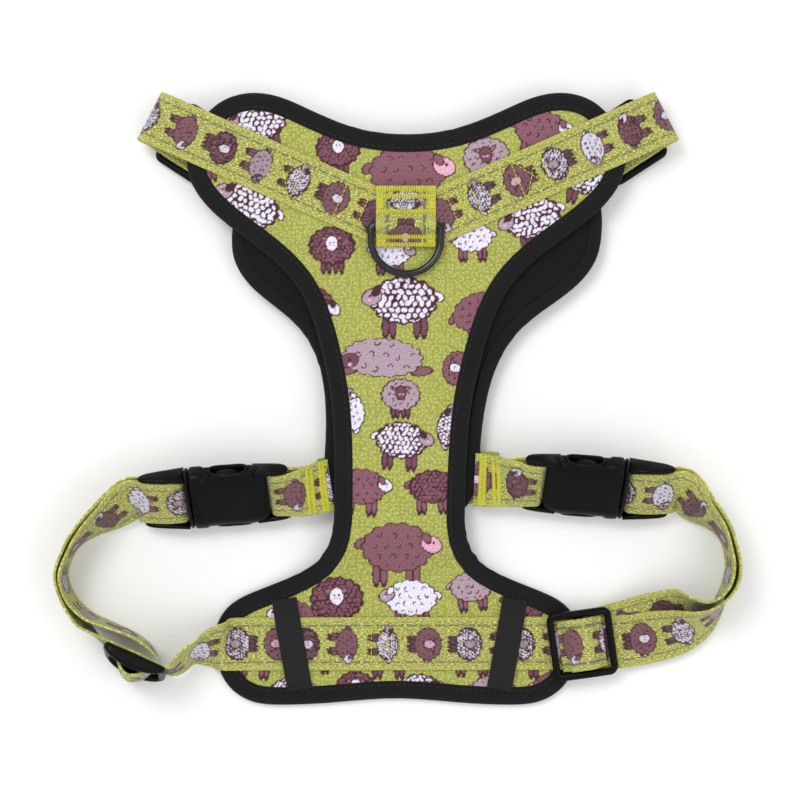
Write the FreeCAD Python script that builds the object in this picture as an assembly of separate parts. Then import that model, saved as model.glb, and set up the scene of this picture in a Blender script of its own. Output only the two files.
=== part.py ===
"""No-pull dog harness, laid flat with its chest panel on top and both girth buckles closed.

Millimetres. +X runs to the harness's right as it lies, +Y to its neck edge, +Z up off the surface.
The origin is on the surface, under the middle of the whole harness.
"""
import FreeCAD, Part
import math
import os

os.makedirs("parts", exist_ok=True)
V = FreeCAD.Vector
UP = V(0, 0, 1)

# Webbing and hardware sizes
STRAP_WIDTH = 25.4
STRAP_THICK = 1.2
KEEPER_WIDTH = 12.0
KEEPER_THICK = 1.0
LAYER_GAP = 0.2

# Panels: cloth face, foam and lining, closed by a folded tape around the edge
FACE_THICK = 0.8
FOAM_THICK = 2.4
LINING_THICK = 0.8
PANEL_THICK = FACE_THICK + FOAM_THICK + LINING_THICK
BINDING_WIDTH = 8.5
SLAB_HALF_WIDTH = 140.0

# Heights of the stack, from the surface up
UNDER_STRAP_Z = 4.8
BACK_PANEL_Z = 5.5
CHEST_PANEL_Z = BACK_PANEL_Z + PANEL_THICK + 0.4
CHEST_TOP_Z = CHEST_PANEL_Z + PANEL_THICK
NECK_STRAP_Z = CHEST_TOP_Z + 0.1 + STRAP_THICK / 2
FLARE_TOP_Z = PANEL_THICK
GIRTH_STRAP_Z = FLARE_TOP_Z + LAYER_GAP + STRAP_THICK / 2

# The chest panel comes down to the surface past the end of the back panel
RAMP_START_Y = -60.0
RAMP_END_Y = -93.0
RAMP_STEPS = 8

# Half outlines, from the middle of the neck edge down the right side to the middle of the tail edge
CHEST_CENTER_X = 1.0
CHEST_HALF = [
    (0, 126), (22, 128.5), (48, 138.5), (61, 143.8), (75, 145.5), (88, 141.5), (98.5, 131), (104, 117.5),
    (102, 104), (93, 91), (80, 80), (63, 67), (50, 53), (42, 36), (37, 18), (33.5, 0), (31.5, -25),
    (31, -50), (32.5, -66), (38, -76), (50, -84), (68, -91.5), (81, -99), (87, -110), (86.5, -123),
    (81, -136), (70, -144), (54, -146), (31, -145), (0, -143),
]
BACK_CENTER_X = 5.5
BACK_HALF = [
    (0, 94), (22, 97), (42, 106), (56, 112), (68, 113), (79, 107), (86, 95), (88, 80), (86.5, 68),
    (80, 57), (66, 45), (52, 33), (43, 18), (38.5, 0), (37, -20), (36, -40), (31, -52), (18, -56.5),
    (0, -57.5),
]

# Neck straps: a V on the chest panel, folded under at the outer ends
NECK_CENTER_X = 5.0
NECK_FOLD = (122.0, 134.5)
NECK_MEET = (10.0, 85.0)
NECK_RETURN_ANGLE = 33.0
NECK_RETURN_LENGTH = 68.0

# D-rings and the webbing tabs that hold their bars
RING_WIRE = 1.65
RING_HALF_WIDTH = 16.5
RING_CORNER = 2.2
RING_SIDE = 6.5
RING_FIT = 0.08
TAB_HALF_WIDTH = 14.2
TAB_NECK_LENGTH = 18.5
TAB_TAIL_LENGTH = 10.3
FRONT_RING_X = 4.0
FRONT_RING_Y = 82.5
FRONT_RING_Z = CHEST_TOP_Z + 0.1 + STRAP_THICK + 0.1 + RING_WIRE
BACK_RING_X = BACK_CENTER_X
BACK_RING_Y = 52.0
BACK_RING_Z = BACK_PANEL_Z - 0.1 - RING_WIRE

# Three-bar sliders
SLIDER_LENGTH = 31.0
SLIDER_WIDTH = 32.6
SLIDER_THICK = 2.4
SLIDER_RAIL = 3.4
SLIDER_BAR = 4.0
SLIDER_CORNER = 3.0
SLIDER_OFFSET = STRAP_THICK / 2 + 0.2
NECK_SLIDER_ALONG = {"left": 21.0, "right": 17.0}
GIRTH_SLIDER_LEFT = (-122.8, -121.2)
GIRTH_SLIDER_LEFT_ANGLE = -23.6
GIRTH_SLIDER_RIGHT = (88.0, -116.2)
GIRTH_SLIDER_RIGHT_ANGLE = 8.0

# Side-release buckles: u along the buckle outwards, v across, w through
BUCKLE_TILT = 40.0
BUCKLE_DROOP = 4.0
BUCKLE_START = {"left": (-50.0, -43.0), "right": (58.5, -38.5)}
BUCKLE_Z = 15.5
HOUSING_END = 47.0
HOUSING_BODY = 14.0
HOUSING_HALF_WIDTH = 16.5
HOUSING_HALF_THICK = 6.0
HOUSING_SIDE_WALL = 2.5
HOUSING_FACE_WALL = 1.8
HOUSING_CAVITY_START = 16.0
WINDOW = (20.0, 37.0)
WINDOW_HALF_THICK = 3.6
BAR_RADIUS = 2.0
HOUSING_BAR_U = 7.0
RAIL_INNER = 13.2
RAIL_OUTER = 16.0
INSERT_FLANGE = 4.0
INSERT_END = 70.0
INSERT_BAR_U = 58.0
PLUG_START = 44.0
PLUG_HALF_WIDTH = 13.5
PLUG_HALF_THICK = 3.9
TONGUE_START = 24.0
TONGUE_HALF_WIDTH = 2.8
PRONG_U = 46.0
PRONG_V = 9.0
PRONG_KNUCKLE = 1.8
PRONG_SOCKET = 1.88
PRONG_ARM_HALF = 1.2
PRONG_HALF_THICK = 3.0
PRONG_PAD = (21.0, 36.4)
PRONG_PAD_OUT = 15.7
BAR_WRAP = BAR_RADIUS + 0.3 + STRAP_THICK / 2

# Keepers over the girth strap
KEEPER_TOP = (55.1, -95.5)
KEEPER_FOOT = (47.6, -138.0)


def save(name, shape):
    """Check that the shape is closed and write it as its own node."""
    if not shape.isValid() or shape.Volume <= 0:
        raise ValueError(name + " is not a valid solid")
    shape.exportStep("parts/" + name + ".step")


def box(low, high):
    """Box between two corners."""
    return Part.makeBox(high[0] - low[0], high[1] - low[1], high[2] - low[2], V(*low))


def rounded_box(low, high, radius, axis):
    """Box with the four edges along one axis rounded."""
    solid = box(low, high)
    chosen = []
    for edge in solid.Edges:
        along = (edge.Vertexes[1].Point - edge.Vertexes[0].Point).normalize()
        if abs(along.dot(axis)) > 0.999:
            chosen.append(edge)
    return solid.makeFillet(radius, chosen)


# ---------------------------------------------------------------- panels

def closed_curve(half, center_x):
    """Smooth closed curve through a half outline and its mirror image."""
    right = [V(center_x + x, y, 0) for x, y in half]
    left = [V(center_x - x, y, 0) for x, y in reversed(half[1:-1])]
    curve = Part.BSplineCurve()
    curve.interpolate(Points=right + left, PeriodicFlag=True)
    return curve, right + left


def inset_curve(curve, points, distance):
    """Curve that runs inside a clockwise outline, a constant distance from it."""
    moved = []
    for point in points:
        along = V(*curve.tangent(curve.parameter(point))[0])
        moved.append(point + V(along.y, -along.x, 0).normalize() * distance)
    inner = Part.BSplineCurve()
    inner.interpolate(Points=moved, PeriodicFlag=True)
    return inner


def prism(curve):
    """Upright prism of a closed curve, taller than every panel."""
    face = Part.Face(Part.Wire([curve.toShape()]))
    face.translate(V(0, 0, -5))
    return face.extrude(V(0, 0, 40))


def ramp_height(y):
    """Height of the chest panel's underside."""
    along = (y - RAMP_END_Y) / (RAMP_START_Y - RAMP_END_Y)
    along = min(1.0, max(0.0, along))
    return CHEST_PANEL_Z * (1 - math.cos(math.pi * along)) / 2


def slab(low, high, ramped):
    """Sheet between two heights over a panel's underside, flat or with the chest panel's ramp."""
    ys = [-170.0]
    if ramped:
        ys += [RAMP_END_Y + (RAMP_START_Y - RAMP_END_Y) * i / RAMP_STEPS for i in range(RAMP_STEPS + 1)]
    ys.append(170.0)
    base = ramp_height if ramped else (lambda y: BACK_PANEL_Z)
    under = [V(-SLAB_HALF_WIDTH, y, base(y) + low) for y in ys]
    over = [V(-SLAB_HALF_WIDTH, y, base(y) + high) for y in reversed(ys)]
    face = Part.Face(Part.makePolygon(under + over + under[:1]))
    return face.extrude(V(2 * SLAB_HALF_WIDTH, 0, 0))


def panel(name, half, center_x, ramped, face_up):
    """Face cloth, foam and lining inside the binding's inner edge, and the binding around them."""
    outer, points = closed_curve(half, center_x)
    inner = prism(inset_curve(outer, points, BINDING_WIDTH))
    lining_low = 0.0 if face_up else PANEL_THICK - LINING_THICK
    foam_low = LINING_THICK if face_up else FACE_THICK
    face_low = PANEL_THICK - FACE_THICK if face_up else 0.0
    save(name + "_lining", inner.common(slab(lining_low, lining_low + LINING_THICK, ramped)))
    save(name + "_foam", inner.common(slab(foam_low, foam_low + FOAM_THICK, ramped)))
    save(name + "_face", inner.common(slab(face_low, face_low + FACE_THICK, ramped)))
    save(name + "_binding", prism(outer).cut(inner).common(slab(0.0, PANEL_THICK, ramped)))


# ---------------------------------------------------------------- webbing

def blend(before, start, end, after, along):
    """Catmull-Rom point between start and end, for tuples of any length."""
    return tuple(
        0.5 * (2 * b + (c - a) * along + (2 * a - 5 * b + 4 * c - d) * along ** 2
               + (3 * b - a - 3 * c + d) * along ** 3)
        for a, b, c, d in zip(before, start, end, after)
    )


def smooth(stations, steps):
    """Stations joined by smooth curves, with the same number of steps in each span."""
    padded = [stations[0]] + list(stations) + [stations[-1]]
    path = []
    for i in range(len(stations) - 1):
        path += [blend(*padded[i:i + 4], step / steps) for step in range(steps)]
    return path + [stations[-1]]


def frames(path, hand):
    """Centre, travel, across and outward vectors at each (x, y, z, turn) point.

    The outward face points up at a turn of 0 degrees and to the path's outer side at 90 degrees.
    The outer side is the left-hand one for a hand of 1 and the right-hand one for -1.
    """
    result = []
    for i, (x, y, z, turn) in enumerate(path):
        before = path[max(i - 1, 0)]
        after = path[min(i + 1, len(path) - 1)]
        travel = V(after[0] - before[0], after[1] - before[1], after[2] - before[2]).normalize()
        outer = V(-travel.y, travel.x, 0).normalize() * hand
        angle = math.radians(turn)
        outward = outer * math.sin(angle) + UP * math.cos(angle)
        outward = (outward - travel * outward.dot(travel)).normalize()
        result.append((V(x, y, z), travel, travel.cross(outward), outward))
    return result


def ribbon(sections, width, thick):
    """Closed strap solid through (centre, across, outward) sections."""
    rings = []
    for center, across, outward in sections:
        side = across * (width / 2)
        face = outward * (thick / 2)
        rings.append([center + side + face, center - side + face, center - side - face, center + side - face])
    polygons = [rings[0], rings[-1][::-1]]
    for first, second in zip(rings, rings[1:]):
        for i in range(4):
            j = (i + 1) % 4
            if i == 2:
                # The lower face is split along the same diagonal as the upper one, so a twist keeps its thickness
                polygons += [[second[i], second[j], first[j]], [second[i], first[j], first[i]]]
            else:
                polygons += [[second[j], first[j], first[i]], [second[i], second[j], first[i]]]
    faces = [Part.Face(Part.makePolygon(corners + corners[:1])) for corners in polygons]
    return Part.Solid(Part.Shell(faces))


def single(path_frames):
    """Sections of one layer of webbing."""
    return [(center, across, outward) for center, travel, across, outward in path_frames]


def looped(path_frames, first_return, gaps):
    """Sections of webbing that runs out, turns round a bar at the path's end and runs back inside.

    gaps holds the distance between the layers, counted back from the bar.
    """
    turn = []
    center, travel, across, outward = path_frames[-1]
    for step in range(1, 8):
        angle = math.pi * step / 8
        face = outward * math.cos(angle) + travel * math.sin(angle)
        turn.append((center - outward * BAR_WRAP + face * BAR_WRAP, across, face))
    back = []
    returning = path_frames[first_return:]
    for i, (center, travel, across, outward) in enumerate(reversed(returning)):
        gap = gaps[min(i, len(gaps) - 1)]
        back.append((center - outward * gap, across, outward * -1))
    return single(path_frames) + turn + back


def resting(x, y, turn, low):
    """Station whose lowest edge is at a height, for webbing turned by an angle."""
    angle = math.radians(turn)
    z = low + abs(math.sin(angle)) * STRAP_WIDTH / 2 + abs(math.cos(angle)) * STRAP_THICK / 2
    return (x, y, z, turn)


def layer_gaps(bar_steps):
    """Distances between the two layers: the bar's width first, then closing up."""
    close = STRAP_THICK + 0.5
    wide = 2 * BAR_WRAP
    return [wide] * bar_steps + [wide + (close - wide) * (i / 12) for i in range(1, 13)]


# ---------------------------------------------------------------- buckles

def buckle_axes(side):
    """Start point and the outward, across and face directions of one buckle."""
    sign = -1 if side == "left" else 1
    droop = math.radians(BUCKLE_DROOP)
    tilt = math.radians(BUCKLE_TILT)
    along = V(sign * math.cos(droop), -math.sin(droop), 0)
    neckward = V(sign * math.sin(droop), math.cos(droop), 0)
    across = neckward * math.cos(tilt) + UP * math.sin(tilt)
    facing = UP * math.cos(tilt) - neckward * math.sin(tilt)
    x, y = BUCKLE_START[side]
    return V(x, y, BUCKLE_Z), along, across, facing


def buckle_point(side, u, w):
    """World point on a buckle's mid-plane."""
    start, along, across, facing = buckle_axes(side)
    return start + along * u + facing * w


def place_buckle(side, shape):
    """Shape in buckle coordinates (x = u, y = v, z = w) moved to its place on one side."""
    start, along, across, facing = buckle_axes(side)
    if side == "left":
        shape = shape.mirror(V(0, 0, 0), V(0, 1, 0))
        across = across * -1
    matrix = FreeCAD.Matrix(
        along.x, across.x, facing.x, start.x,
        along.y, across.y, facing.y, start.y,
        along.z, across.z, facing.z, start.z,
        0, 0, 0, 1,
    )
    placed = shape.copy()
    placed.Placement = FreeCAD.Placement(matrix)
    return placed


def cylinder_w(u, v, radius, half):
    """Cylinder through the buckle's thickness."""
    return Part.makeCylinder(radius, 2 * half, V(u, v, -half), UP)


def cross_bar(u):
    """Webbing bar between two rails."""
    return Part.makeCylinder(BAR_RADIUS, 2 * RAIL_INNER + 1, V(u, -RAIL_INNER - 0.5, 0), V(0, 1, 0))


def rails(start, end, half_thick):
    """Two side rails that carry a webbing bar."""
    one = rounded_box((start, RAIL_INNER, -half_thick), (end, RAIL_OUTER, half_thick), 1.3, V(1, 0, 0))
    return one.fuse(one.mirror(V(0, 0, 0), V(0, 1, 0)))


def buckle_housing():
    """Female half: a flat shell with a mouth, two side windows and a webbing bar."""
    body = rounded_box(
        (HOUSING_BODY, -HOUSING_HALF_WIDTH, -HOUSING_HALF_THICK),
        (HOUSING_END, HOUSING_HALF_WIDTH, HOUSING_HALF_THICK), 3.0, V(1, 0, 0))
    inner_half = HOUSING_HALF_WIDTH - HOUSING_SIDE_WALL
    inner_thick = HOUSING_HALF_THICK - HOUSING_FACE_WALL
    cavity = box((HOUSING_CAVITY_START, -inner_half, -inner_thick), (HOUSING_END + 1, inner_half, inner_thick))
    windows = box((WINDOW[0], -20, -WINDOW_HALF_THICK), (WINDOW[1], 20, WINDOW_HALF_THICK))
    shell = body.cut(cavity).cut(windows)
    return shell.fuse(rails(0, HOUSING_BODY + 0.5, 3.5)).fuse(cross_bar(HOUSING_BAR_U)).removeSplitter()


def buckle_insert():
    """Male half: flange, webbing bar, plug with two sockets and a centre tongue."""
    flange_end = HOUSING_END + INSERT_FLANGE
    flange = rounded_box(
        (HOUSING_END + 0.3, -HOUSING_HALF_WIDTH, -HOUSING_HALF_THICK),
        (flange_end, HOUSING_HALF_WIDTH, HOUSING_HALF_THICK), 3.0, V(1, 0, 0))
    plug = box((PLUG_START, -PLUG_HALF_WIDTH, -PLUG_HALF_THICK), (flange_end, PLUG_HALF_WIDTH, PLUG_HALF_THICK))
    tongue = box((TONGUE_START, -TONGUE_HALF_WIDTH, -2.2), (PLUG_START + 1, TONGUE_HALF_WIDTH, 2.2))
    solid = flange.fuse(plug).fuse(tongue)
    neck_half = PRONG_ARM_HALF + 0.4
    for side in (-1, 1):
        v = side * PRONG_V
        solid = solid.cut(cylinder_w(PRONG_U, v, PRONG_SOCKET, PLUG_HALF_THICK + 0.05))
        solid = solid.cut(box((PLUG_START - 1, v - neck_half, -5), (PRONG_U, v + neck_half, 5)))
    solid = solid.fuse(rails(flange_end - 0.5, INSERT_END, 4.0)).fuse(cross_bar(INSERT_BAR_U))
    return solid.removeSplitter()


def buckle_prong(side):
    """Sprung prong: round root, thin arm and a thumb pad that fills the side window."""
    v = side * PRONG_V
    knuckle = cylinder_w(PRONG_U, v, PRONG_KNUCKLE, PRONG_HALF_THICK)
    arm = box(
        (PRONG_PAD[0] + 4, v - PRONG_ARM_HALF, -PRONG_HALF_THICK + 0.4),
        (PRONG_U, v + PRONG_ARM_HALF, PRONG_HALF_THICK - 0.4))
    start, end = PRONG_PAD
    inner = PRONG_V - PRONG_ARM_HALF
    bulge = Part.Arc(V(start, side * (inner + 2), 0), V((start + end) / 2 - 1, side * PRONG_PAD_OUT, 0),
                     V(end, side * (PRONG_PAD_OUT - 1.2), 0)).toShape()
    corners = [V(end, side * (PRONG_PAD_OUT - 1.2), 0), V(end, side * inner, 0), V(start, side * inner, 0),
               V(start, side * (inner + 2), 0)]
    profile = Part.Wire([bulge] + Part.makePolygon(corners).Edges)
    pad = Part.Face(profile).extrude(V(0, 0, 2 * PRONG_HALF_THICK))
    pad.translate(V(0, 0, -PRONG_HALF_THICK))
    return knuckle.fuse(arm).fuse(pad).removeSplitter()


# ---------------------------------------------------------------- sliders, rings, tabs, keepers

def slider_plate():
    """Slider in its own frame: x along the strap, y across, z away from the running layer."""
    half_length = SLIDER_LENGTH / 2
    half_width = SLIDER_WIDTH / 2
    plate = rounded_box((-half_length, -half_width, 0), (half_length, half_width, SLIDER_THICK), SLIDER_CORNER, UP)
    inside = half_width - SLIDER_RAIL + 0.1
    for sign in (-1, 1):
        near = sign * SLIDER_BAR / 2
        far = sign * (half_length - SLIDER_RAIL)
        plate = plate.cut(box((min(near, far), -inside, -1), (max(near, far), inside, SLIDER_THICK + 1)))
    return plate


def slider_wrap():
    """Short length of webbing that goes up through one slot, over the bar and down the other."""
    over = SLIDER_THICK + 0.1 + STRAP_THICK / 2
    stations = [(-9.5, 0, 0.75, 180), (-6.5, 0, 1.3, 180), (-3.6, 0, over - 0.2, 180), (0, 0, over, 180),
                (3.6, 0, over - 0.2, 180), (6.5, 0, 1.3, 180), (9.5, 0, 0.75, 180)]
    return ribbon(single(frames(smooth(stations, 3), 1)), STRAP_WIDTH - 0.4, STRAP_THICK)


def place_slider(shape, center, along, away):
    """Slider shape moved so that its running layer's middle passes through center."""
    across = away.cross(along)
    origin = center + away * SLIDER_OFFSET
    matrix = FreeCAD.Matrix(
        along.x, across.x, away.x, origin.x,
        along.y, across.y, away.y, origin.y,
        along.z, across.z, away.z, origin.z,
        0, 0, 0, 1,
    )
    placed = shape.copy()
    placed.Placement = FreeCAD.Placement(matrix)
    return placed


def plan_direction(angle):
    """Horizontal unit vector at an angle from +X."""
    return V(math.cos(math.radians(angle)), math.sin(math.radians(angle)), 0)


def d_ring(x, y, z):
    """Round-wire D-ring: straight bar along X, bow towards the tail."""
    half = RING_HALF_WIDTH
    corner = RING_CORNER
    diagonal = corner * math.sqrt(0.5)
    edges = [
        Part.LineSegment(V(-half + corner, 0, 0), V(half - corner, 0, 0)).toShape(),
        Part.Arc(V(half - corner, 0, 0), V(half - corner + diagonal, -corner + diagonal, 0),
                 V(half, -corner, 0)).toShape(),
        Part.LineSegment(V(half, -corner, 0), V(half, -RING_SIDE, 0)).toShape(),
        Part.Arc(V(half, -RING_SIDE, 0), V(0, -RING_SIDE - half, 0), V(-half, -RING_SIDE, 0)).toShape(),
        Part.LineSegment(V(-half, -RING_SIDE, 0), V(-half, -corner, 0)).toShape(),
        Part.Arc(V(-half, -corner, 0), V(-half + corner - diagonal, -corner + diagonal, 0),
                 V(-half + corner, 0, 0)).toShape(),
    ]
    spine = Part.Wire(edges)
    section = Part.Wire([Part.makeCircle(RING_WIRE, V(0, 0, 0), V(1, 0, 0))])
    ring = spine.makePipeShell([section], True, False)
    ring.translate(V(x, y, z))
    return ring


def ring_tab(x, y, z, side, base_gap):
    """Strip sewn down on both sides of a ring's bar, humped over it.

    side is 1 where the hump is above the bar and -1 where it is below.
    """
    inner = RING_WIRE + RING_FIT
    outer = inner + STRAP_THICK
    base = -RING_WIRE - base_gap
    foot = math.sqrt(outer ** 2 - (base + STRAP_THICK) ** 2)
    hump = Part.makeCylinder(outer, 2 * TAB_HALF_WIDTH, V(-TAB_HALF_WIDTH, 0, 0), V(1, 0, 0))
    skirt = box((-TAB_HALF_WIDTH, -outer, base), (TAB_HALF_WIDTH, outer, 0))
    flat = box((-TAB_HALF_WIDTH, -TAB_TAIL_LENGTH, base), (TAB_HALF_WIDTH, TAB_NECK_LENGTH, base + STRAP_THICK))
    over = hump.common(box((-50, -50, base), (50, 50, 50)))
    bore = Part.makeCylinder(inner, 2 * TAB_HALF_WIDTH + 2, V(-TAB_HALF_WIDTH - 1, 0, 0), V(1, 0, 0))
    mouth = box((-50, -inner, base - 1), (50, inner, 0))
    solid = over.fuse(skirt).fuse(flat).cut(bore).cut(mouth).removeSplitter()
    if side < 0:
        solid = solid.mirror(V(0, 0, 0), V(0, 0, 1))
    solid.translate(V(x, y, z))
    return solid


def keeper(sign):
    """Narrow tape sewn at both ends, raised over the girth strap."""
    top_x, top_y = KEEPER_TOP
    foot_x, foot_y = KEEPER_FOOT
    low = FLARE_TOP_Z + 0.1 + KEEPER_THICK / 2
    high = GIRTH_STRAP_Z + STRAP_THICK / 2 + LAYER_GAP + KEEPER_THICK / 2
    stations = []
    for along, z in ((0.0, low), (0.07, low), (0.15, high), (0.84, high), (0.92, low), (1.0, low)):
        x = sign * (top_x + (foot_x - top_x) * along) + CHEST_CENTER_X
        stations.append((x, top_y + (foot_y - top_y) * along, z, 0))
    return ribbon(single(frames(stations, 1)), KEEPER_WIDTH, KEEPER_THICK)


# ---------------------------------------------------------------- straps in place

def neck_strap(side):
    """Neck strap: along the V, round the outer fold and back under to the back panel."""
    sign = -1 if side == "left" else 1
    fold = V(NECK_CENTER_X + sign * NECK_FOLD[0], NECK_FOLD[1], 0)
    meet = V(NECK_CENTER_X + sign * NECK_MEET[0], NECK_MEET[1], 0)
    outwards = (fold - meet).normalize()
    radius = (NECK_STRAP_Z - UNDER_STRAP_Z) / 2
    back = neck_return(side)
    sections = [(meet.x, meet.y, NECK_STRAP_Z), (fold.x, fold.y, NECK_STRAP_Z)]
    for step in range(1, 10):
        angle = math.pi * step / 10
        point = fold + outwards * (radius * math.sin(angle))
        sections.append((point.x, point.y, UNDER_STRAP_Z + radius * (1 + math.cos(angle))))
    end = fold + back * NECK_RETURN_LENGTH
    sections += [(fold.x, fold.y, UNDER_STRAP_Z), (end.x, end.y, UNDER_STRAP_Z)]
    result = []
    across_first = UP.cross(outwards)
    across_last = UP.cross(back * -1)
    count = len(sections)
    for i, section in enumerate(sections):
        before = V(*sections[max(i - 1, 0)])
        after = V(*sections[min(i + 1, count - 1)])
        travel = (after - before).normalize()
        share = min(1.0, max(0.0, (i - 1) / (count - 3)))
        across = across_first * (1 - share) + across_last * share
        across = (across - travel * across.dot(travel)).normalize()
        result.append((V(*section), across, travel.cross(across)))
    return ribbon(result, STRAP_WIDTH, STRAP_THICK)


def neck_return(side):
    """Plan direction of the strap's lower layer, from the fold to the back panel."""
    sign = -1 if side == "left" else 1
    return plan_direction(-90 + sign * -1 * (90 - NECK_RETURN_ANGLE))


def neck_slider_center(side):
    """Point on the lower layer where the neck slider sits."""
    sign = -1 if side == "left" else 1
    fold = V(NECK_CENTER_X + sign * NECK_FOLD[0], NECK_FOLD[1], UNDER_STRAP_Z)
    return fold + neck_return(side) * NECK_SLIDER_ALONG[side]


def bar_stations(side, bar_u, entry_u, steps):
    """Stations that lead webbing straight onto a bar, on the buckle's lower face."""
    stations = []
    for step in range(steps + 1):
        u = entry_u + (bar_u - entry_u) * step / steps
        point = buckle_point(side, u, -BAR_WRAP)
        stations.append((point.x, point.y, point.z, 180 - BUCKLE_TILT))
    return stations


def back_strap(side):
    """Short strap from the back panel's outer face round the housing's bar and back."""
    sign = -1 if side == "left" else 1
    edge = {"left": -34.5, "right": 44.0}[side]
    y = {"left": -40.0, "right": -37.0}[side]
    stations = [(edge - sign * 22, y + 0.5, UNDER_STRAP_Z, 180), (edge - sign * 10, y, UNDER_STRAP_Z, 180),
                (edge, y - 0.3, UNDER_STRAP_Z, 180)]
    stations += bar_stations(side, HOUSING_BAR_U, -4.5, 3)
    path = frames(smooth(stations, 4), sign)
    wide = 2 * BAR_WRAP
    close = STRAP_THICK + 0.3
    gaps = [wide] * 9 + [wide + (close - wide) * i / 6 for i in range(1, 7)]
    return ribbon(looped(path, 9, gaps), STRAP_WIDTH, STRAP_THICK)


def girth_center():
    """Middle of the girth strap, sewn across the chest panel's flare."""
    stations = [(-74.0, -116.6, GIRTH_STRAP_Z, 0), (68.0, -116.2, GIRTH_STRAP_Z, 0)]
    return ribbon(single(frames(stations, 1)), STRAP_WIDTH, STRAP_THICK)


def girth_left():
    """Left girth strap: twists on edge, runs behind the slider, out to the buckle and back."""
    stations = [(-74.8, -116.6, GIRTH_STRAP_Z, 0), (-80.0, -116.8, GIRTH_STRAP_Z, 0),
                (-88.5, -117.4, GIRTH_STRAP_Z + 0.5, 0), resting(-93.5, -119.4, 24, 0.8),
                resting(-98.5, -124.0, 64, 0.5)]
    along = plan_direction(GIRTH_SLIDER_LEFT_ANGLE)
    for distance in (21.0, 16.5, 0.0, -16.5, -20.0):
        x = GIRTH_SLIDER_LEFT[0] + along.x * distance
        y = GIRTH_SLIDER_LEFT[1] + along.y * distance
        stations.append(resting(x, y, 90, 0.4))
    for x, y, turn in ((-148.4, -106.5, 90), (-156.5, -95, 90), (-160.2, -82, 90), (-155.6, -69.4, 92),
                       (-147.0, -60.5, 106), (-136.5, -53.2, 124)):
        stations.append(resting(x, y, turn, 0.4 + 4.2 * (turn - 90) / 50))
    stations += bar_stations("left", INSERT_BAR_U, INSERT_END + 6, 3)
    path = frames(smooth(stations, 4), 1)
    return ribbon(looped(path, 34, layer_gaps(12)), STRAP_WIDTH, STRAP_THICK)


def girth_right():
    """Right girth strap: runs flat under the slider, out to the buckle and back underneath."""
    stations = [(68.2, -116.2, GIRTH_STRAP_Z, 0), (88.0, -116.2, GIRTH_STRAP_Z, 0),
                (105.0, -115.6, GIRTH_STRAP_Z, 0), (118.5, -113.6, GIRTH_STRAP_Z, 5)]
    for x, y, turn, low in ((133, -110.2, 24, 3.2), (144.5, -105.5, 50, 1.8), (152.8, -98.2, 74, 0.8),
                            (158.8, -88, 88, 0.4), (160.4, -77, 90, 0.4), (157.5, -66, 92, 0.5),
                            (151.5, -57.2, 104, 1.6), (143.2, -50.2, 122, 3.1)):
        stations.append(resting(x, y, turn, low))
    stations += bar_stations("right", INSERT_BAR_U, INSERT_END + 6, 3)
    path = frames(smooth(stations, 4), -1)
    return ribbon(looped(path, 9, layer_gaps(12)), STRAP_WIDTH, STRAP_THICK)


# ---------------------------------------------------------------- build

def build():
    """Write every piece of the harness."""
    panel("chest", CHEST_HALF, CHEST_CENTER_X, True, True)
    panel("back", BACK_HALF, BACK_CENTER_X, False, False)

    save("front_ring", d_ring(FRONT_RING_X, FRONT_RING_Y, FRONT_RING_Z))
    save("front_ring_tab", ring_tab(FRONT_RING_X, FRONT_RING_Y, FRONT_RING_Z, 1, 0.05))
    save("back_ring", d_ring(BACK_RING_X, BACK_RING_Y, BACK_RING_Z))
    save("back_ring_tab", ring_tab(BACK_RING_X, BACK_RING_Y, BACK_RING_Z, -1, 0.05))

    save("girth_strap_center", girth_center())
    save("girth_strap_left", girth_left())
    save("girth_strap_right", girth_right())

    plate = slider_plate()
    wrap = slider_wrap()
    left_along = plan_direction(GIRTH_SLIDER_LEFT_ANGLE)
    left_center = V(GIRTH_SLIDER_LEFT[0], GIRTH_SLIDER_LEFT[1], SLIDER_WIDTH / 2 + 0.3)
    right_center = V(GIRTH_SLIDER_RIGHT[0], GIRTH_SLIDER_RIGHT[1], GIRTH_STRAP_Z)
    places = {
        "girth_left": (left_center, left_along, left_along.cross(UP)),
        "girth_right": (right_center, plan_direction(GIRTH_SLIDER_RIGHT_ANGLE), UP),
        "neck_left": (neck_slider_center("left"), neck_return("left"), UP * -1),
        "neck_right": (neck_slider_center("right"), neck_return("right"), UP * -1),
    }
    for name, place in places.items():
        group, side = name.split("_")
        save(group + "_slider_" + side, place_slider(plate, *place))
        save(group + "_wrap_" + side, place_slider(wrap, *place))

    housing = buckle_housing()
    insert = buckle_insert()
    for side, sign in (("left", -1), ("right", 1)):
        save("neck_strap_" + side, neck_strap(side))
        save("back_strap_" + side, back_strap(side))
        save("keeper_" + side, keeper(sign))
        save("buckle_housing_" + side, place_buckle(side, housing))
        save("buckle_insert_" + side, place_buckle(side, insert))
        save("buckle_prong_" + side + "_upper", place_buckle(side, buckle_prong(1)))
        save("buckle_prong_" + side + "_lower", place_buckle(side, buckle_prong(-1)))


build()
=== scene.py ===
"""Looks of the no-pull dog harness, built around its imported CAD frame.

Points are worked out in millimetres in the frame's own axes and turned into metres where meshes are made.
The printed cloth and webbing carry a colour attribute drawn by draw_sheep(), a simple flock of
the builder's own design, and the materials add ground curls, weave, sheen and relief to it.
"""
import bmesh
import bpy
import math
import numpy as np
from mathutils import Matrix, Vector, kdtree


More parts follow.
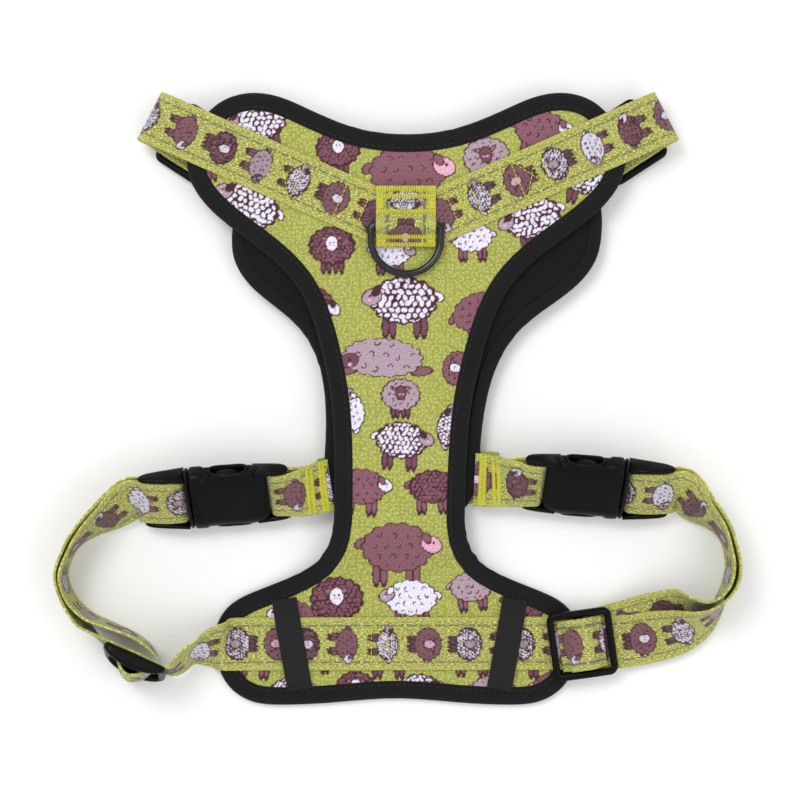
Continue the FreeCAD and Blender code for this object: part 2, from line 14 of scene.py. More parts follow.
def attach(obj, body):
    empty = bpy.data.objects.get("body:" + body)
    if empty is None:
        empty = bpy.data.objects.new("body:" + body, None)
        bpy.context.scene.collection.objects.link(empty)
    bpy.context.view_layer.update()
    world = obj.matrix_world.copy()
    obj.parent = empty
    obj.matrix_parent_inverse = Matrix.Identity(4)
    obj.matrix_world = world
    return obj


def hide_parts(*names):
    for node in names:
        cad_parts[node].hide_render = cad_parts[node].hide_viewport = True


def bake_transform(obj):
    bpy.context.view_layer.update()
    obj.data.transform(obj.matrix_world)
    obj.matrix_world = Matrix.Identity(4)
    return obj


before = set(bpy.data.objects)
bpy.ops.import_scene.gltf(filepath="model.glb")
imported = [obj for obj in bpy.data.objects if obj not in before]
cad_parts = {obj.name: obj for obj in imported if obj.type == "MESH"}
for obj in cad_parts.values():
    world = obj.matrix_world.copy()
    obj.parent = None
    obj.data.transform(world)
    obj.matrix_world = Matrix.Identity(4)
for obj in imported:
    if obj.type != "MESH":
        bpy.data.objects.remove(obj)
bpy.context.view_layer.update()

MM = 0.001
UP = np.array([0.0, 0.0, 1.0])

# Sizes shared with the CAD, in millimetres
STRAP_WIDTH = 25.4
STRAP_THICK = 1.2
PANEL_THICK = 4.0
BACK_PANEL_Z = 5.5
CHEST_PANEL_Z = 9.9
NECK_STRAP_Z = 14.6
UNDER_STRAP_Z = 4.8
GIRTH_STRAP_Z = 4.8
GIRTH_CENTER = [(-50.4, -116.5), (0, -116.4), (52.4, -116.3)]
RAMP_START_Y = -60.0
RAMP_END_Y = -93.0

CHEST_CENTER_X = 1.0
CHEST_HALF = [
    (0, 126), (22, 128.5), (48, 138.5), (61, 143.8), (75, 145.5), (88, 141.5), (98.5, 131), (104, 117.5),
    (102, 104), (93, 91), (80, 80), (63, 67), (50, 53), (42, 36), (37, 18), (33.5, 0), (31.5, -25),
    (31, -50), (32.5, -66), (38, -76), (50, -84), (68, -91.5), (81, -99), (87, -110), (86.5, -123),
    (81, -136), (70, -144), (54, -146), (31, -145), (0, -143),
]
BACK_CENTER_X = 5.5
BACK_HALF = [
    (0, 94), (22, 97), (42, 106), (56, 112), (68, 113), (79, 107), (86, 95), (88, 80), (86.5, 68),
    (80, 57), (66, 45), (52, 33), (43, 18), (38.5, 0), (37, -20), (36, -40), (31, -52), (18, -56.5),
    (0, -57.5),
]

NECK_CENTER_X = 5.0
NECK_FOLD = (118.0, 132.7)
NECK_MEET = (10.0, 85.0)
NECK_RETURN_ANGLE = 33.0
NECK_RETURN_LENGTH = 68.0
NECK_SLIDER_ALONG = {"left": 21.0, "right": 17.0}

SLIDER_LENGTH = 31.0
SLIDER_WIDTH = 32.6
SLIDER_THICK = 2.4
GIRTH_SLIDER_THICK = 3.2
SLIDER_RAIL = 3.4
SLIDER_BAR = 4.0
SLIDER_OFFSET = 0.8
SLIDER_CORNER = 3.0
GIRTH_SLIDER_LEFT = (-122.8, -121.2)
GIRTH_SLIDER_LEFT_ANGLE = -23.6
SLIDER_LEFT_LEAN = 17.0
GIRTH_SLIDER_RIGHT = (88.0, -116.2)
GIRTH_SLIDER_RIGHT_ANGLE = 8.0

BUCKLE_TILT = 40.0
BUCKLE_TURN = 180 - BUCKLE_TILT     # turn of webbing that lies along a buckle
BUCKLE_DROOP = 4.0
BUCKLE_START = {"left": (-50.0, -43.0), "right": (58.5, -38.5)}
BUCKLE_Z = 15.5
HOUSING_BAR_U = 7.0
INSERT_BAR_U = 53.0
INSERT_END = 70.0
BAR_RADIUS = 2.0
BAR_WRAP = 2.9
SHELL_POWER = 3.4       # squareness of the female half's rounded sections
SHELL_HALF = (16.5, 6.0)
WINDOW_U = 28.5
WINDOW_HALF = (8.3, 3.3)
WINDOW_POWER = 2.4

KEEPER_TOP = (55.1, -95.5)
KEEPER_FOOT = (47.6, -138.0)
KEEPER_WIDTH = 12.0
KEEPER_THICK = 1.1

THREAD_LIFT = 0.04
BOX_HALF = 10.9         # half the width of a sewn box on a strap

RING_WIRE = 1.65
TAB_HALF_WIDTH = 14.2
FRONT_RING = (4.0, 82.5, 16.95)
BACK_RING = (5.5, 52.0, 3.75)

# The sewn panels lie a little askew: sideways shift per millimetre of y, about a level where it is nought
CHEST_LEAN = (0.019, -50.0)
BACK_LEAN = (0.066, 23.0)

# Mesh steps in millimetres, and the steps in each span between two stations of a strap
FACE_STEP = 0.52
HIDDEN_STEP = 0.9
CHEST_LINING_STEP = 1.4
BACK_LINING_STEP = 0.8
STRAP_STEP = 0.6
OUTLINE_STEP = 1.0
SPAN = 12
TURN_STEPS = 16

# Camera and lamps, in metres and watts
CAMERA_PLACE = (0.0012, 0.0, 0.907)
CAMERA_LENS = 85.0
SKY_STRENGTH = 0.86
FLOOR_HALF = 3.0
FLOOR_DROP = 0.0002
LAMPS = (("key", (-0.55, 0.65, 1.3), 8.0, 0.6), ("fill", (0.9, -0.5, 1.2), 3.0, 0.8))


# ---------------------------------------------------------------- colours

def linear(red, green, blue):
    """Linear colour from 8-bit screen values."""
    values = []
    for channel in (red, green, blue):
        share = channel / 255
        values.append(share / 12.92 if share <= 0.04045 else ((share + 0.055) / 1.055) ** 2.4)
    return tuple(values)


def scaled(tone, share):
    """Colour made darker or lighter."""
    return tuple(share * channel for channel in tone)


CLOTH_CURL = linear(196, 205, 118)
WEB_PALE = linear(240, 241, 160)
WEB_GREY = linear(122, 122, 104)
MAROON = linear(74, 38, 48)
PLUM = linear(132, 88, 100)
LILAC = linear(172, 150, 163)
MAUVE = linear(112, 72, 84)
WOOL_WHITE = linear(226, 221, 238)
FACE_PINK = linear(222, 170, 190)
HORN = linear(146, 110, 112)


# ---------------------------------------------------------------- vectors and curves

def unit(vectors):
    """Vectors scaled to length 1, one or many."""
    vectors = np.asarray(vectors, float)
    return vectors / np.linalg.norm(vectors, axis=-1, keepdims=True)


def smoothstep(values):
    """0 below 0, 1 above 1, eased between."""
    share = np.clip(values, 0.0, 1.0)
    return share * share * (3 - 2 * share)


def closed_spline(points, step):
    """Smooth closed curve through points, sampled evenly, with its inward normals for a clockwise curve."""
    points = np.asarray(points, float)
    count = len(points)
    following = np.roll(points, -1, axis=0)
    chord = np.linalg.norm(following - points, axis=1)
    before = np.roll(chord, 1)
    system = np.zeros((count, count))
    for i in range(count):
        system[i, i - 1] = before[i]
        system[i, i] = 2 * (before[i] + chord[i])
        system[i, (i + 1) % count] = chord[i]
    slope = (following - points) / chord[:, None]
    bend = np.linalg.solve(system, 6 * (slope - np.roll(slope, 1, axis=0)))
    fine = []
    for i in range(count):
        j = (i + 1) % count
        share = np.linspace(0, 1, 40, endpoint=False)[:, None]
        h = chord[i]
        fine.append((1 - share) * points[i] + share * points[j]
                    + h * h / 6 * (((1 - share) ** 3 - (1 - share)) * bend[i]
                                   + (share ** 3 - share) * bend[j]))
    fine = np.concatenate(fine)
    closed = np.vstack([fine, fine[:1]])
    length = np.concatenate([[0], np.cumsum(np.linalg.norm(np.diff(closed, axis=0), axis=1))])
    rows = int(length[-1] / step)
    at = np.linspace(0, length[-1], rows, endpoint=False)
    even = np.stack([np.interp(at, length, closed[:, k]) for k in range(2)], axis=1)
    along = unit(np.roll(even, -1, axis=0) - np.roll(even, 1, axis=0))
    inward = np.stack([along[:, 1], -along[:, 0]], axis=1)
    return even, inward


def outline(half, center_x, lean, step):
    """Sampled outline of a panel from its half outline, with the panel's lean."""
    right = [(center_x + x, y) for x, y in half]
    left = [(center_x - x, y) for x, y in reversed(half[1:-1])]
    points = np.array(right + left, float)
    points[:, 0] += lean[0] * (points[:, 1] - lean[1])
    return closed_spline(points, step)


def ramp_height(y):
    """Height of the chest panel's underside."""
    along = np.clip((np.asarray(y) - RAMP_END_Y) / (RAMP_START_Y - RAMP_END_Y), 0, 1)
    return CHEST_PANEL_Z * (1 - np.cos(math.pi * along)) / 2


def flat_height(y):
    """Height of the back panel's underside."""
    return np.full(np.shape(y), BACK_PANEL_Z)


def blend_points(before, start, end, after, along):
    """Catmull-Rom point between start and end."""
    return tuple(
        0.5 * (2 * b + (c - a) * along + (2 * a - 5 * b + 4 * c - d) * along ** 2
               + (3 * b - a - 3 * c + d) * along ** 3)
        for a, b, c, d in zip(before, start, end, after)
    )


def smooth(stations, steps):
    """Stations joined by smooth curves, with the same number of steps in each span."""
    padded = [stations[0]] + list(stations) + [stations[-1]]
    path = []
    for i in range(len(stations) - 1):
        path += [blend_points(*padded[i:i + 4], step / steps) for step in range(steps)]
    return path + [stations[-1]]


def frames(path, hand):
    """Centre, travel, across and outward vectors at each (x, y, z, turn) point.

    The outward face points up at a turn of 0 degrees and to the path's outer side at 90 degrees.
    """
    path = np.asarray(path, float)
    places = path[:, :3]
    after = np.vstack([places[1:], places[-1:]])
    before = np.vstack([places[:1], places[:-1]])
    travel = unit(after - before)
    outer = unit(np.stack([-travel[:, 1], travel[:, 0], np.zeros(len(path))], axis=1)) * hand
    angle = np.radians(path[:, 3])[:, None]
    outward = outer * np.sin(angle) + UP * np.cos(angle)
    outward = unit(outward - travel * np.sum(outward * travel, axis=1, keepdims=True))
    return places, travel, np.cross(travel, outward), outward


def single(layer):
    """Sections (centre, across, outward) of one layer of webbing."""
    places, travel, across, outward = layer
    return np.stack([places, across, outward], axis=1)


def looped(layer, returning, hand):
    """Sections of webbing that runs out, turns round a bar and runs back along stations of its own."""
    places, travel, across, outward = layer
    center, forward, side, face = places[-1], travel[-1], across[-1], outward[-1]
    turn = []
    for step in range(1, TURN_STEPS):
        angle = math.pi * step / TURN_STEPS
        turned = face * math.cos(angle) + forward * math.sin(angle)
        turn.append((center - face * BAR_WRAP + turned * BAR_WRAP, side, turned))
    places, travel, across, outward = frames(returning, hand)
    return np.concatenate([single(layer), np.array(turn), np.stack([places, -across, -outward], axis=1)])


def resting(x, y, turn, low):
    """Station whose lowest edge is at a height, for webbing turned by an angle."""
    angle = math.radians(turn)
    return (x, y, low + abs(math.sin(angle)) * STRAP_WIDTH / 2 + abs(math.cos(angle)) * STRAP_THICK / 2, turn)


def resample(sections, step):
    """Sections spaced evenly along their centres, and the distance along at each."""
    length = np.concatenate([[0], np.cumsum(np.linalg.norm(np.diff(sections[:, 0], axis=0), axis=1))])
    rows = max(2, int(length[-1] / step) + 1)
    at = np.linspace(0, length[-1], rows)
    flat = sections.reshape(len(sections), 9)
    even = np.stack([np.interp(at, length, flat[:, k]) for k in range(9)], axis=1).reshape(rows, 3, 3)
    even[:, 1:] = unit(even[:, 1:])
    return even, at


def sign_of(side):
    """-1 for the left, 1 for the right."""
    return -1 if side == "left" else 1


def plan_direction(angle):
    """Horizontal unit vector at an angle from +X."""
    return np.array([math.cos(math.radians(angle)), math.sin(math.radians(angle)), 0.0])


# ---------------------------------------------------------------- meshes

def piece(name, points, faces, finish, slot, body=None, uv=None, colors=None):
    """Smooth mesh object from millimetre points, riding on a body if one is given."""
    mesh = bpy.data.meshes.new(name)
    mesh.from_pydata((np.asarray(points) * MM).tolist(), [], [list(face) for face in faces])
    mesh.validate()
    mesh.shade_smooth()
    if uv is not None:
        corner = np.zeros(len(mesh.loops), int)
        mesh.loops.foreach_get("vertex_index", corner)
        layer = mesh.uv_layers.new(name="UVMap")
        layer.data.foreach_set("uv", np.asarray(uv, float)[corner].astype(np.float32).ravel())
    if colors is not None:
        attribute = mesh.attributes.new("print", "FLOAT_COLOR", "POINT")
        attribute.data.foreach_set("color", np.asarray(colors, np.float32).ravel())
    mesh.materials.append(finish)
    made = bpy.data.objects.new(name, mesh)
    bpy.context.scene.collection.objects.link(made)
    if body:
        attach(made, body)
    return made


def grid_faces(rows, columns, wrap_rows=False, wrap_columns=False):
    """Quads over a grid of points numbered row by row."""
    i = np.arange(rows if wrap_rows else rows - 1)[:, None]
    j = np.arange(columns if wrap_columns else columns - 1)[None, :]
    next_i = (i + 1) % rows
    next_j = (j + 1) % columns
    quads = np.stack([i * columns + j, i * columns + next_j, next_i * columns + next_j,
                      next_i * columns + j], axis=-1)
    return quads.reshape(-1, 4).tolist()


def tube(rings, closed):
    """Points and faces of a skin through equal rings, a closed loop of them or capped at both ends."""
    rings = np.asarray(rings)
    rows, columns = rings.shape[:2]
    faces = grid_faces(rows, columns, wrap_rows=closed, wrap_columns=True)
    if not closed:
        faces.append(list(range(columns))[::-1])
        faces.append([(rows - 1) * columns + k for k in range(columns)])
    return rings.reshape(-1, 3), faces


def joined(parts):
    """Points and faces of several skins as one mesh."""
    points = []
    faces = []
    count = 0
    for part_points, part_faces in parts:
        points.append(part_points)
        faces += [[count + k for k in face] for face in part_faces]
        count += len(part_points)
    return np.concatenate(points), faces


# ---------------------------------------------------------------- printed flock

class Print:
    """Colours and cover of a printed pattern at a set of flat points, in millimetres."""

    def __init__(self, spots):
        self.spots = np.asarray(spots, float)
        self.color = np.zeros((len(self.spots), 4))

    def paint(self, chosen, mask, color):
        """Put one colour where the mask holds, among the chosen points."""
        self.color[chosen[mask]] = (*color, 1.0)


def ellipse(q, x, y, wide, high, lean=0.0):
    """Distance ratio from the middle of a leaning ellipse: below 1 inside."""
    c, s = math.cos(lean), math.sin(lean)
    dx = q[:, 0] - x
    dy = q[:, 1] - y
    return np.hypot((dx * c + dy * s) / wide, (-dx * s + dy * c) / high)


def fleece_cells(q, spacing, rng):
    """Distance and direction to the nearest lock of wool, on a loose honeycomb over the body."""
    rows = int(2.4 / (spacing * 0.87)) + 1
    columns = int(2.8 / spacing) + 1
    centers = []
    for i in range(rows):
        for j in range(columns):
            x = -1.4 + (j + 0.5 * (i % 2)) * spacing + rng.uniform(-0.12, 0.12) * spacing
            y = -1.2 + i * spacing * 0.87 + rng.uniform(-0.12, 0.12) * spacing
            centers.append((x, y))
    centers = np.array(centers)
    lean = rng.uniform(0, math.pi, len(centers))
    size = rng.uniform(0.78, 1.18, len(centers)) * spacing
    offset = q[:, None, :] - centers[None, :, :]
    nearest = np.argmin(np.sum(offset ** 2, axis=2), axis=1)
    picked = offset[np.arange(len(q)), nearest]
    turned = lean[nearest]
    across = picked[:, 0] * np.cos(turned) + picked[:, 1] * np.sin(turned)
    along = -picked[:, 0] * np.sin(turned) + picked[:, 1] * np.cos(turned)
    return across / size[nearest], along / size[nearest]


STYLES = {
    "curly": {"body": MAROON, "lock": WOOL_WHITE, "face": LILAC},
    "dark": {"body": MAROON, "lock": PLUM, "face": WOOL_WHITE},
    "plum": {"body": PLUM, "lock": None, "face": WOOL_WHITE},
    "rosy": {"body": PLUM, "lock": None, "face": FACE_PINK},
    "lilac": {"body": LILAC, "lock": None, "face": MAUVE},
    "white": {"body": WOOL_WHITE, "lock": None, "face": LILAC},
}


def draw_sheep(target, x, y, size, style, turn=0.0, facing=1, pose="side", seed=1):
    """Paint one generic sheep. size is half its body length, turn in degrees, facing 1 for head at +x."""
    reach = size * 1.75
    offset = target.spots - (x, y)
    chosen = np.nonzero(np.max(np.abs(offset), axis=1) < reach)[0]
    if not len(chosen):
        return
    angle = math.radians(turn)
    c, s = math.cos(angle), math.sin(angle)
    near = offset[chosen] / size
    q = np.stack([(near[:, 0] * c + near[:, 1] * s) * facing, -near[:, 0] * s + near[:, 1] * c], axis=1)
    rng = np.random.default_rng(seed)
    line = 0.62 / size
    colors = STYLES[style]
    height = {"side": 0.70, "front": 0.82, "lying": 0.48}[pose]
    lobes = {"side": 15, "front": 15, "lying": 17}[pose]

    def shape(value, edge, color):
        target.paint(chosen, value < 1 + edge, MAROON)
        target.paint(chosen, value < 1, color)

    if pose == "side":
        for leg in (-0.62, -0.40, 0.34, 0.56):
            long = ellipse(q, leg, -0.80, 0.085, 0.28)
            shape(long, line / 0.085, PLUM if style != "curly" else MAUVE)
        shape(ellipse(q, -1.06, 0.12, 0.17, 0.12, 0.5), line / 0.14, colors["lock"] or colors["body"])
    elif pose == "front":
        for leg in (-0.42, -0.16, 0.14, 0.40):
            shape(ellipse(q, leg, -0.90, 0.08, 0.25), line / 0.08, MAUVE)
    else:
        shape(ellipse(q, 1.02, -0.30, 0.24, 0.10, 0.2), line / 0.13, PLUM)
        shape(ellipse(q, -1.0, -0.36, 0.30, 0.11), line / 0.13, PLUM)

    around = np.arctan2(q[:, 1] / height, q[:, 0])
    wave = 0.09 * np.abs(np.sin(around * lobes / 2 + 0.6))
    body = ellipse(q, 0, 0, 1.0, height)
    inside = body < 0.94 + wave
    target.paint(chosen, body < 0.94 + wave + line / 0.8, MAROON)
    target.paint(chosen, inside, colors["body"])
    if colors["lock"]:
        across, along = fleece_cells(q, 0.21, rng)
        spread = np.hypot(across / 0.33, along / 0.47)
        hollow = np.hypot(across / 0.10, along / 0.17)
        mark = inside & (spread < 1)
        if style == "dark":
            mark &= hollow > 1
        target.paint(chosen, mark & (body < 0.90 + wave), colors["lock"])
    else:
        across, along = fleece_cells(q, 0.36, rng)
        distance = np.hypot(across, along)
        curl = (np.abs(distance - 0.19) < 0.42 * line / 0.36) & (along < 0.05) & (body < 0.86)
        target.paint(chosen, curl, MAROON)

    if pose == "side":
        head = (0.98, 0.10, 0.30, 0.23, -0.45)
    elif pose == "front":
        head = (0.0, 0.10, 0.25, 0.33, 0.0)
    else:
        head = (-0.86, -0.12, 0.24, 0.17, 0.3)
    hx, hy, hw, hh, hl = head
    if pose == "front":
        for ear in (-1, 1):
            shape(ellipse(q, ear * 0.30, 0.30, 0.15, 0.07, ear * 0.5), line / 0.1, HORN)
    shape(ellipse(q, hx, hy, hw, hh, hl), line / 0.27, colors["face"])
    if pose == "side":
        shape(ellipse(q, hx - 0.14, hy + 0.19, 0.10, 0.15, 0.6), line / 0.12, colors["body"])
        eyes = [(hx + 0.06, hy + 0.04)]
    elif pose == "front":
        eyes = [(-0.09, 0.14), (0.09, 0.14)]
    else:
        eyes = [(hx + 0.02, hy + 0.02)]
    for ex, ey in eyes:
        dot = ellipse(q, ex, ey, 0.038, 0.05)
        target.paint(chosen, dot < 1, MAROON)
        cheek = ellipse(q, ex + 0.02, ey - 0.12, 0.055, 0.045)
        target.paint(chosen, cheek < 1, FACE_PINK)


# Sheep on the chest panel: x, y, half body length, style, turn, facing, pose
CHEST_SHEEP = [
    (5, 108, 17.5, "rosy", 2, 1, "side"), (-66, 132, 13.0, "curly", 6, -1, "side"),
    (42, 115, 10.5, "lilac", 10, -1, "front"), (-28, 119, 10, "dark", 0, 1, "front"),
    (68, 128, 12, "plum", -6, 1, "side"), (-96, 116, 12, "plum", 14, 1, "side"),
    (90, 106, 12, "curly", -12, -1, "side"), (-70, 92, 14.0, "curly", -24, -1, "side"),
    (-31, 73, 10.4, "dark", 2, 1, "front"), (-3, 70, 9.0, "white", -2, 1, "side"),
    (35, 77, 9.4, "white", 2, -1, "side"), (64, 86, 13.0, "curly", 16, -1, "side"),
    (3, 47, 15.4, "curly", 0, -1, "side"), (-40, 46, 10.5, "dark", -22, 1, "side"),
    (37, 42, 11.0, "rosy", 28, 1, "side"), (-7, 20, 18.5, "lilac", -3, 1, "lying"),
    (28, 15, 7.6, "plum", 80, 1, "front"), (1.5, 2.5, 8.6, "lilac", 0, 1, "front"),
    (-22, -5.5, 8.6, "white", -80, -1, "side"), (2, -19, 11.8, "curly", -4, 1, "side"),
    (25, -13, 8.6, "curly", 80, 1, "side"), (-17, -41, 11.4, "plum", -2, 1, "side"),
    (16.5, -41, 10.6, "dark", 2, 1, "side"), (0, -70, 16.4, "rosy", 0, 1, "side"),
    (-29, -95, 12.2, "dark", 4, 1, "front"), (6.5, -94.5, 11.8, "white", 0, -1, "side"),
    (35.5, -89, 9.8, "lilac", 6, 1, "side"), (-50, -103, 9.6, "plum", 0, -1, "side"),
    (61, -98, 9.8, "dark", -8, 1, "side"), (-68, -120, 11, "rosy", -4, 1, "side"),
    (-40, -119, 10, "white", 4, 1, "side"), (70, -120, 11, "curly", 0, -1, "side"),
    (36, -119, 11, "plum", 0, 1, "side"), (-4, -120, 11, "curly", 0, 1, "side"),
    (-51, -139.5, 9.6, "curly", 4, 1, "side"), (-20, -137.5, 9.0, "dark", 0, 1, "front"),
    (10, -138.5, 10.2, "curly", 2, 1, "side"), (45, -139.0, 9.4, "lilac", -2, 1, "side"),
    (74, -137, 9, "rosy", 8, -1, "side"),
]
BACK_SHEEP = [
    (-58, 88, 14, "curly", -10, 1, "side"), (-22, 74, 12, "white", 4, -1, "side"),
    (14, 82, 15, "rosy", 0, 1, "side"), (52, 86, 12, "dark", 6, 1, "front"),
    (78, 72, 10, "lilac", 0, 1, "side"), (-52, 52, 11, "dark", -14, 1, "front"),
    (-16, 38, 14, "plum", 2, 1, "side"), (24, 46, 12, "curly", -4, -1, "side"),
    (54, 54, 11, "rosy", 12, 1, "side"), (4, 14, 15, "lilac", 0, 1, "lying"),
    (-20, -6, 10, "white", 0, 1, "side"), (22, -8, 11, "dark", 0, 1, "front"),
    (0, -30, 13, "curly", 0, 1, "side"), (30, -38, 10, "plum", 0, -1, "side"),
    (-22, -46, 10, "rosy", 0, 1, "side"), (-80, 80, 12, "plum", 10, 1, "side"),
]
STRAP_ROW = [
    ("dark", "front"), ("plum", "side"), ("curly", "side"), ("rosy", "front"), ("curly", "front"),
    ("white", "side"), ("dark", "side"), ("plum", "front"), ("curly", "side"), ("lilac", "side"),
]
STRAP_PITCH = 19.4


def panel_print(spots, flock):
    """Print colours on a panel's cloth."""
    target = Print(spots)
    for i, (x, y, size, style, turn, facing, pose) in enumerate(flock):
        draw_sheep(target, x, y, size, style, turn, facing, pose, seed=100 + i)
    return target.color


def strap_print(along, across, first, direction):
    """Print colours on webbing: a row of sheep standing crosswise and two dashed lines."""
    target = Print(np.stack([across, along * direction], axis=1))
    low = along.min()
    count = int((along.max() - low) / STRAP_PITCH) + 2
    for i in range(count):
        style, pose = STRAP_ROW[(first + i) % len(STRAP_ROW)]
        middle = (low + (i + 0.35) * STRAP_PITCH) * direction
        draw_sheep(target, 0.2, middle, 7.0 if pose == "side" else 7.3, style, 0,
                   1 if i % 2 else -1, pose, seed=300 + first * 31 + i)
    side = np.abs(across)
    dashed = (np.abs(side - 8.7) < 0.42) & (np.mod(along, 6.8) < 5.6)
    target.color[dashed] = (*WEB_GREY, 1.0)
    return target.color


# ---------------------------------------------------------------- materials

class Finish:
    """Small builder for a node material."""

    def __init__(self, name):
        self.material = bpy.data.materials.new(name)
        self.material.use_nodes = True
        self.tree = self.material.node_tree
        self.shader = self.tree.nodes["Principled BSDF"]

    def node(self, kind, **values):
        """New node with its properties and unlinked inputs set."""
        made = self.tree.nodes.new(kind)
        for key, value in values.items():
            if key in made.inputs:
                made.inputs[key].default_value = value
            else:
                setattr(made, key, value)
        return made

    def link(self, start, end):
        """Join two sockets."""
        self.tree.links.new(start, end)

    def math(self, operation, first, second=None, third=None):
        """Math node on sockets or numbers, giving its output socket."""
        made = self.node("ShaderNodeMath", operation=operation)
        for socket, value in zip(made.inputs, (first, second, third)):
            if value is None:
                continue
            if isinstance(value, (int, float)):
                socket.default_value = value
            else:
                self.link(value, socket)
        return made.outputs[0]

    def mix(self, share, first, second):
        """Colour mixed by a socket or number from first to second, giving its output socket."""
        made = self.node("ShaderNodeMix", data_type="RGBA")
        for socket, value in ((made.inputs[0], share), (made.inputs[6], first), (made.inputs[7], second)):
            if isinstance(value, (int, float)):
                socket.default_value = value
            elif isinstance(value, tuple):
                socket.default_value = (*value, 1.0)
            else:
                self.link(value, socket)
        return made.outputs[2]

    def ramp(self, value, low, high):
        """0 to 1 as a socket goes from low to high."""
        made = self.node("ShaderNodeMapRange", interpolation_type="SMOOTHSTEP")
        made.inputs["From Min"].default_value = low
        made.inputs["From Max"].default_value = high
        self.link(value, made.inputs["Value"])
        return made.outputs[0]

    def noise(self, vector, scale, detail=2.0, roughness=0.5):
        """Noise value at a vector socket."""
        made = self.node("ShaderNodeTexNoise", Scale=scale, Detail=detail, Roughness=roughness)
        self.link(vector, made.inputs["Vector"])
        return made.outputs[0]

    def place(self):
        """Object position in metres."""
        return self.node("ShaderNodeTexCoord").outputs["Object"]

    def flat(self):
        """Flat position in millimetres, from the UV map."""
        return self.node("ShaderNodeUVMap", uv_map="UVMap").outputs[0]

    def bump(self, height, distance, strength=1.0):
        """Relief in metres on the shader."""
        made = self.node("ShaderNodeBump", Strength=strength, Distance=distance)
        self.link(height, made.inputs["Height"])
        self.link(made.outputs[0], self.shader.inputs["Normal"])

    def surface(self, **values):
        """Shader constants by socket name, with spaces written as underscores."""
        for key, value in values.items():
            socket = self.shader.inputs[key.replace("_", " ")]
            socket.default_value = (*value, 1.0) if isinstance(value, tuple) else value

    def average(self, first, second):
        """Mean of two sockets."""
        return self.math("MULTIPLY", self.math("ADD", first, second), 0.5)

    def color(self, socket):
        """Base colour from a socket."""
        self.link(socket, self.shader.inputs["Base Color"])

    def roughness(self, socket):
        """Roughness from a socket."""
        self.link(socket, self.shader.inputs["Roughness"])


def weave(finish, flat, across_pitch, along_pitch):
    """Plain weave height from 0 to 1 with the two thread pitches in millimetres."""
    parts = finish.node("ShaderNodeSeparateXYZ")
    finish.link(flat, parts.inputs[0])
    first = finish.math("SINE", finish.math("MULTIPLY", parts.outputs[0], 2 * math.pi / across_pitch))
    second = finish.math("SINE", finish.math("MULTIPLY", parts.outputs[1], 2 * math.pi / along_pitch))
    return finish.math("MULTIPLY_ADD", finish.math("MULTIPLY", first, second), 0.5, 0.5), parts


def cloth_finish(name):
    """Printed panel cloth: green ground with tiny curls, the flock over it, and a fine knit."""
    finish = Finish(name)
    flat = finish.flat()
    attribute = finish.node("ShaderNodeAttribute", attribute_name="print")
    cells = finish.node("ShaderNodeTexVoronoi", Scale=0.52, Randomness=0.75, voronoi_dimensions="2D")
    finish.link(flat, cells.inputs["Vector"])
    away = finish.math("ABSOLUTE", finish.math("SUBTRACT", cells.outputs["Distance"], 0.20))
    ring = finish.math("SUBTRACT", 1.0, finish.ramp(away, 0.04, 0.16))
    wear = finish.noise(flat, 0.10, 3.0)
    grain = finish.noise(flat, 1.5, 2.0, 0.7)
    ground = finish.mix(wear, linear(145, 148, 66), linear(168, 169, 88))
    ground = finish.mix(finish.math("MULTIPLY", ring, 0.6), ground, CLOTH_CURL)
    printed = finish.mix(attribute.outputs["Alpha"], ground, attribute.outputs["Color"])
    knit = weave(finish, flat, 0.9, 0.9)[0]
    shade = finish.math("MULTIPLY_ADD", grain, 2.0, 0.0)
    tinted = finish.node("ShaderNodeVectorMath", operation="SCALE")
    finish.link(printed, tinted.inputs[0])
    finish.link(shade, tinted.inputs["Scale"])
    finish.color(tinted.outputs[0])
    height = finish.math("ADD", finish.math("MULTIPLY", knit, 0.6), finish.math("MULTIPLY", grain, 0.8))
    finish.bump(height, 0.00018, 0.6)
    finish.surface(Roughness=0.86, Specular_IOR_Level=0.22, Sheen_Weight=0.12, Sheen_Roughness=0.5)
    return finish.material


def webbing_finish(name):
    """Printed polyester webbing: bright ground, paler threads, tight ribs and bound edges."""
    finish = Finish(name)
    flat = finish.flat()
    attribute = finish.node("ShaderNodeAttribute", attribute_name="print")
    knit, parts = weave(finish, flat, 1.1, 1.25)
    streaks = finish.node("ShaderNodeMapping", vector_type="POINT")
    streaks.inputs["Scale"].default_value = (0.9, 3.2, 1.0)
    finish.link(flat, streaks.inputs["Vector"])
    thread = finish.noise(streaks.outputs[0], 0.75, 3.0, 0.75)
    patches = finish.noise(flat, 0.09, 2.0)
    speck = finish.ramp(thread, 0.49, 0.57)
    ground = finish.mix(finish.ramp(patches, 0.35, 0.7), linear(140, 140, 36), linear(154, 154, 52))
    ground = finish.mix(speck, ground, WEB_PALE)
    bare = finish.math("MULTIPLY", finish.ramp(thread, 0.60, 0.74), 0.55)
    over = finish.math("MULTIPLY", attribute.outputs["Alpha"], finish.math("SUBTRACT", 1.0, bare))
    printed = finish.mix(over, ground, attribute.outputs["Color"])
    edge = finish.ramp(finish.math("ABSOLUTE", parts.outputs[1]), 10.6, 11.4)
    printed = finish.mix(finish.math("MULTIPLY", edge, 0.35), printed, linear(200, 202, 96))
    finish.color(printed)
    height = finish.math("ADD", finish.math("MULTIPLY", knit, 0.8), finish.math("MULTIPLY", thread, 0.9))
    finish.bump(height, 0.0006, 0.9)
    finish.surface(Roughness=0.50, Specular_IOR_Level=0.30, Sheen_Weight=0.15, Sheen_Roughness=0.4)
    return finish.material


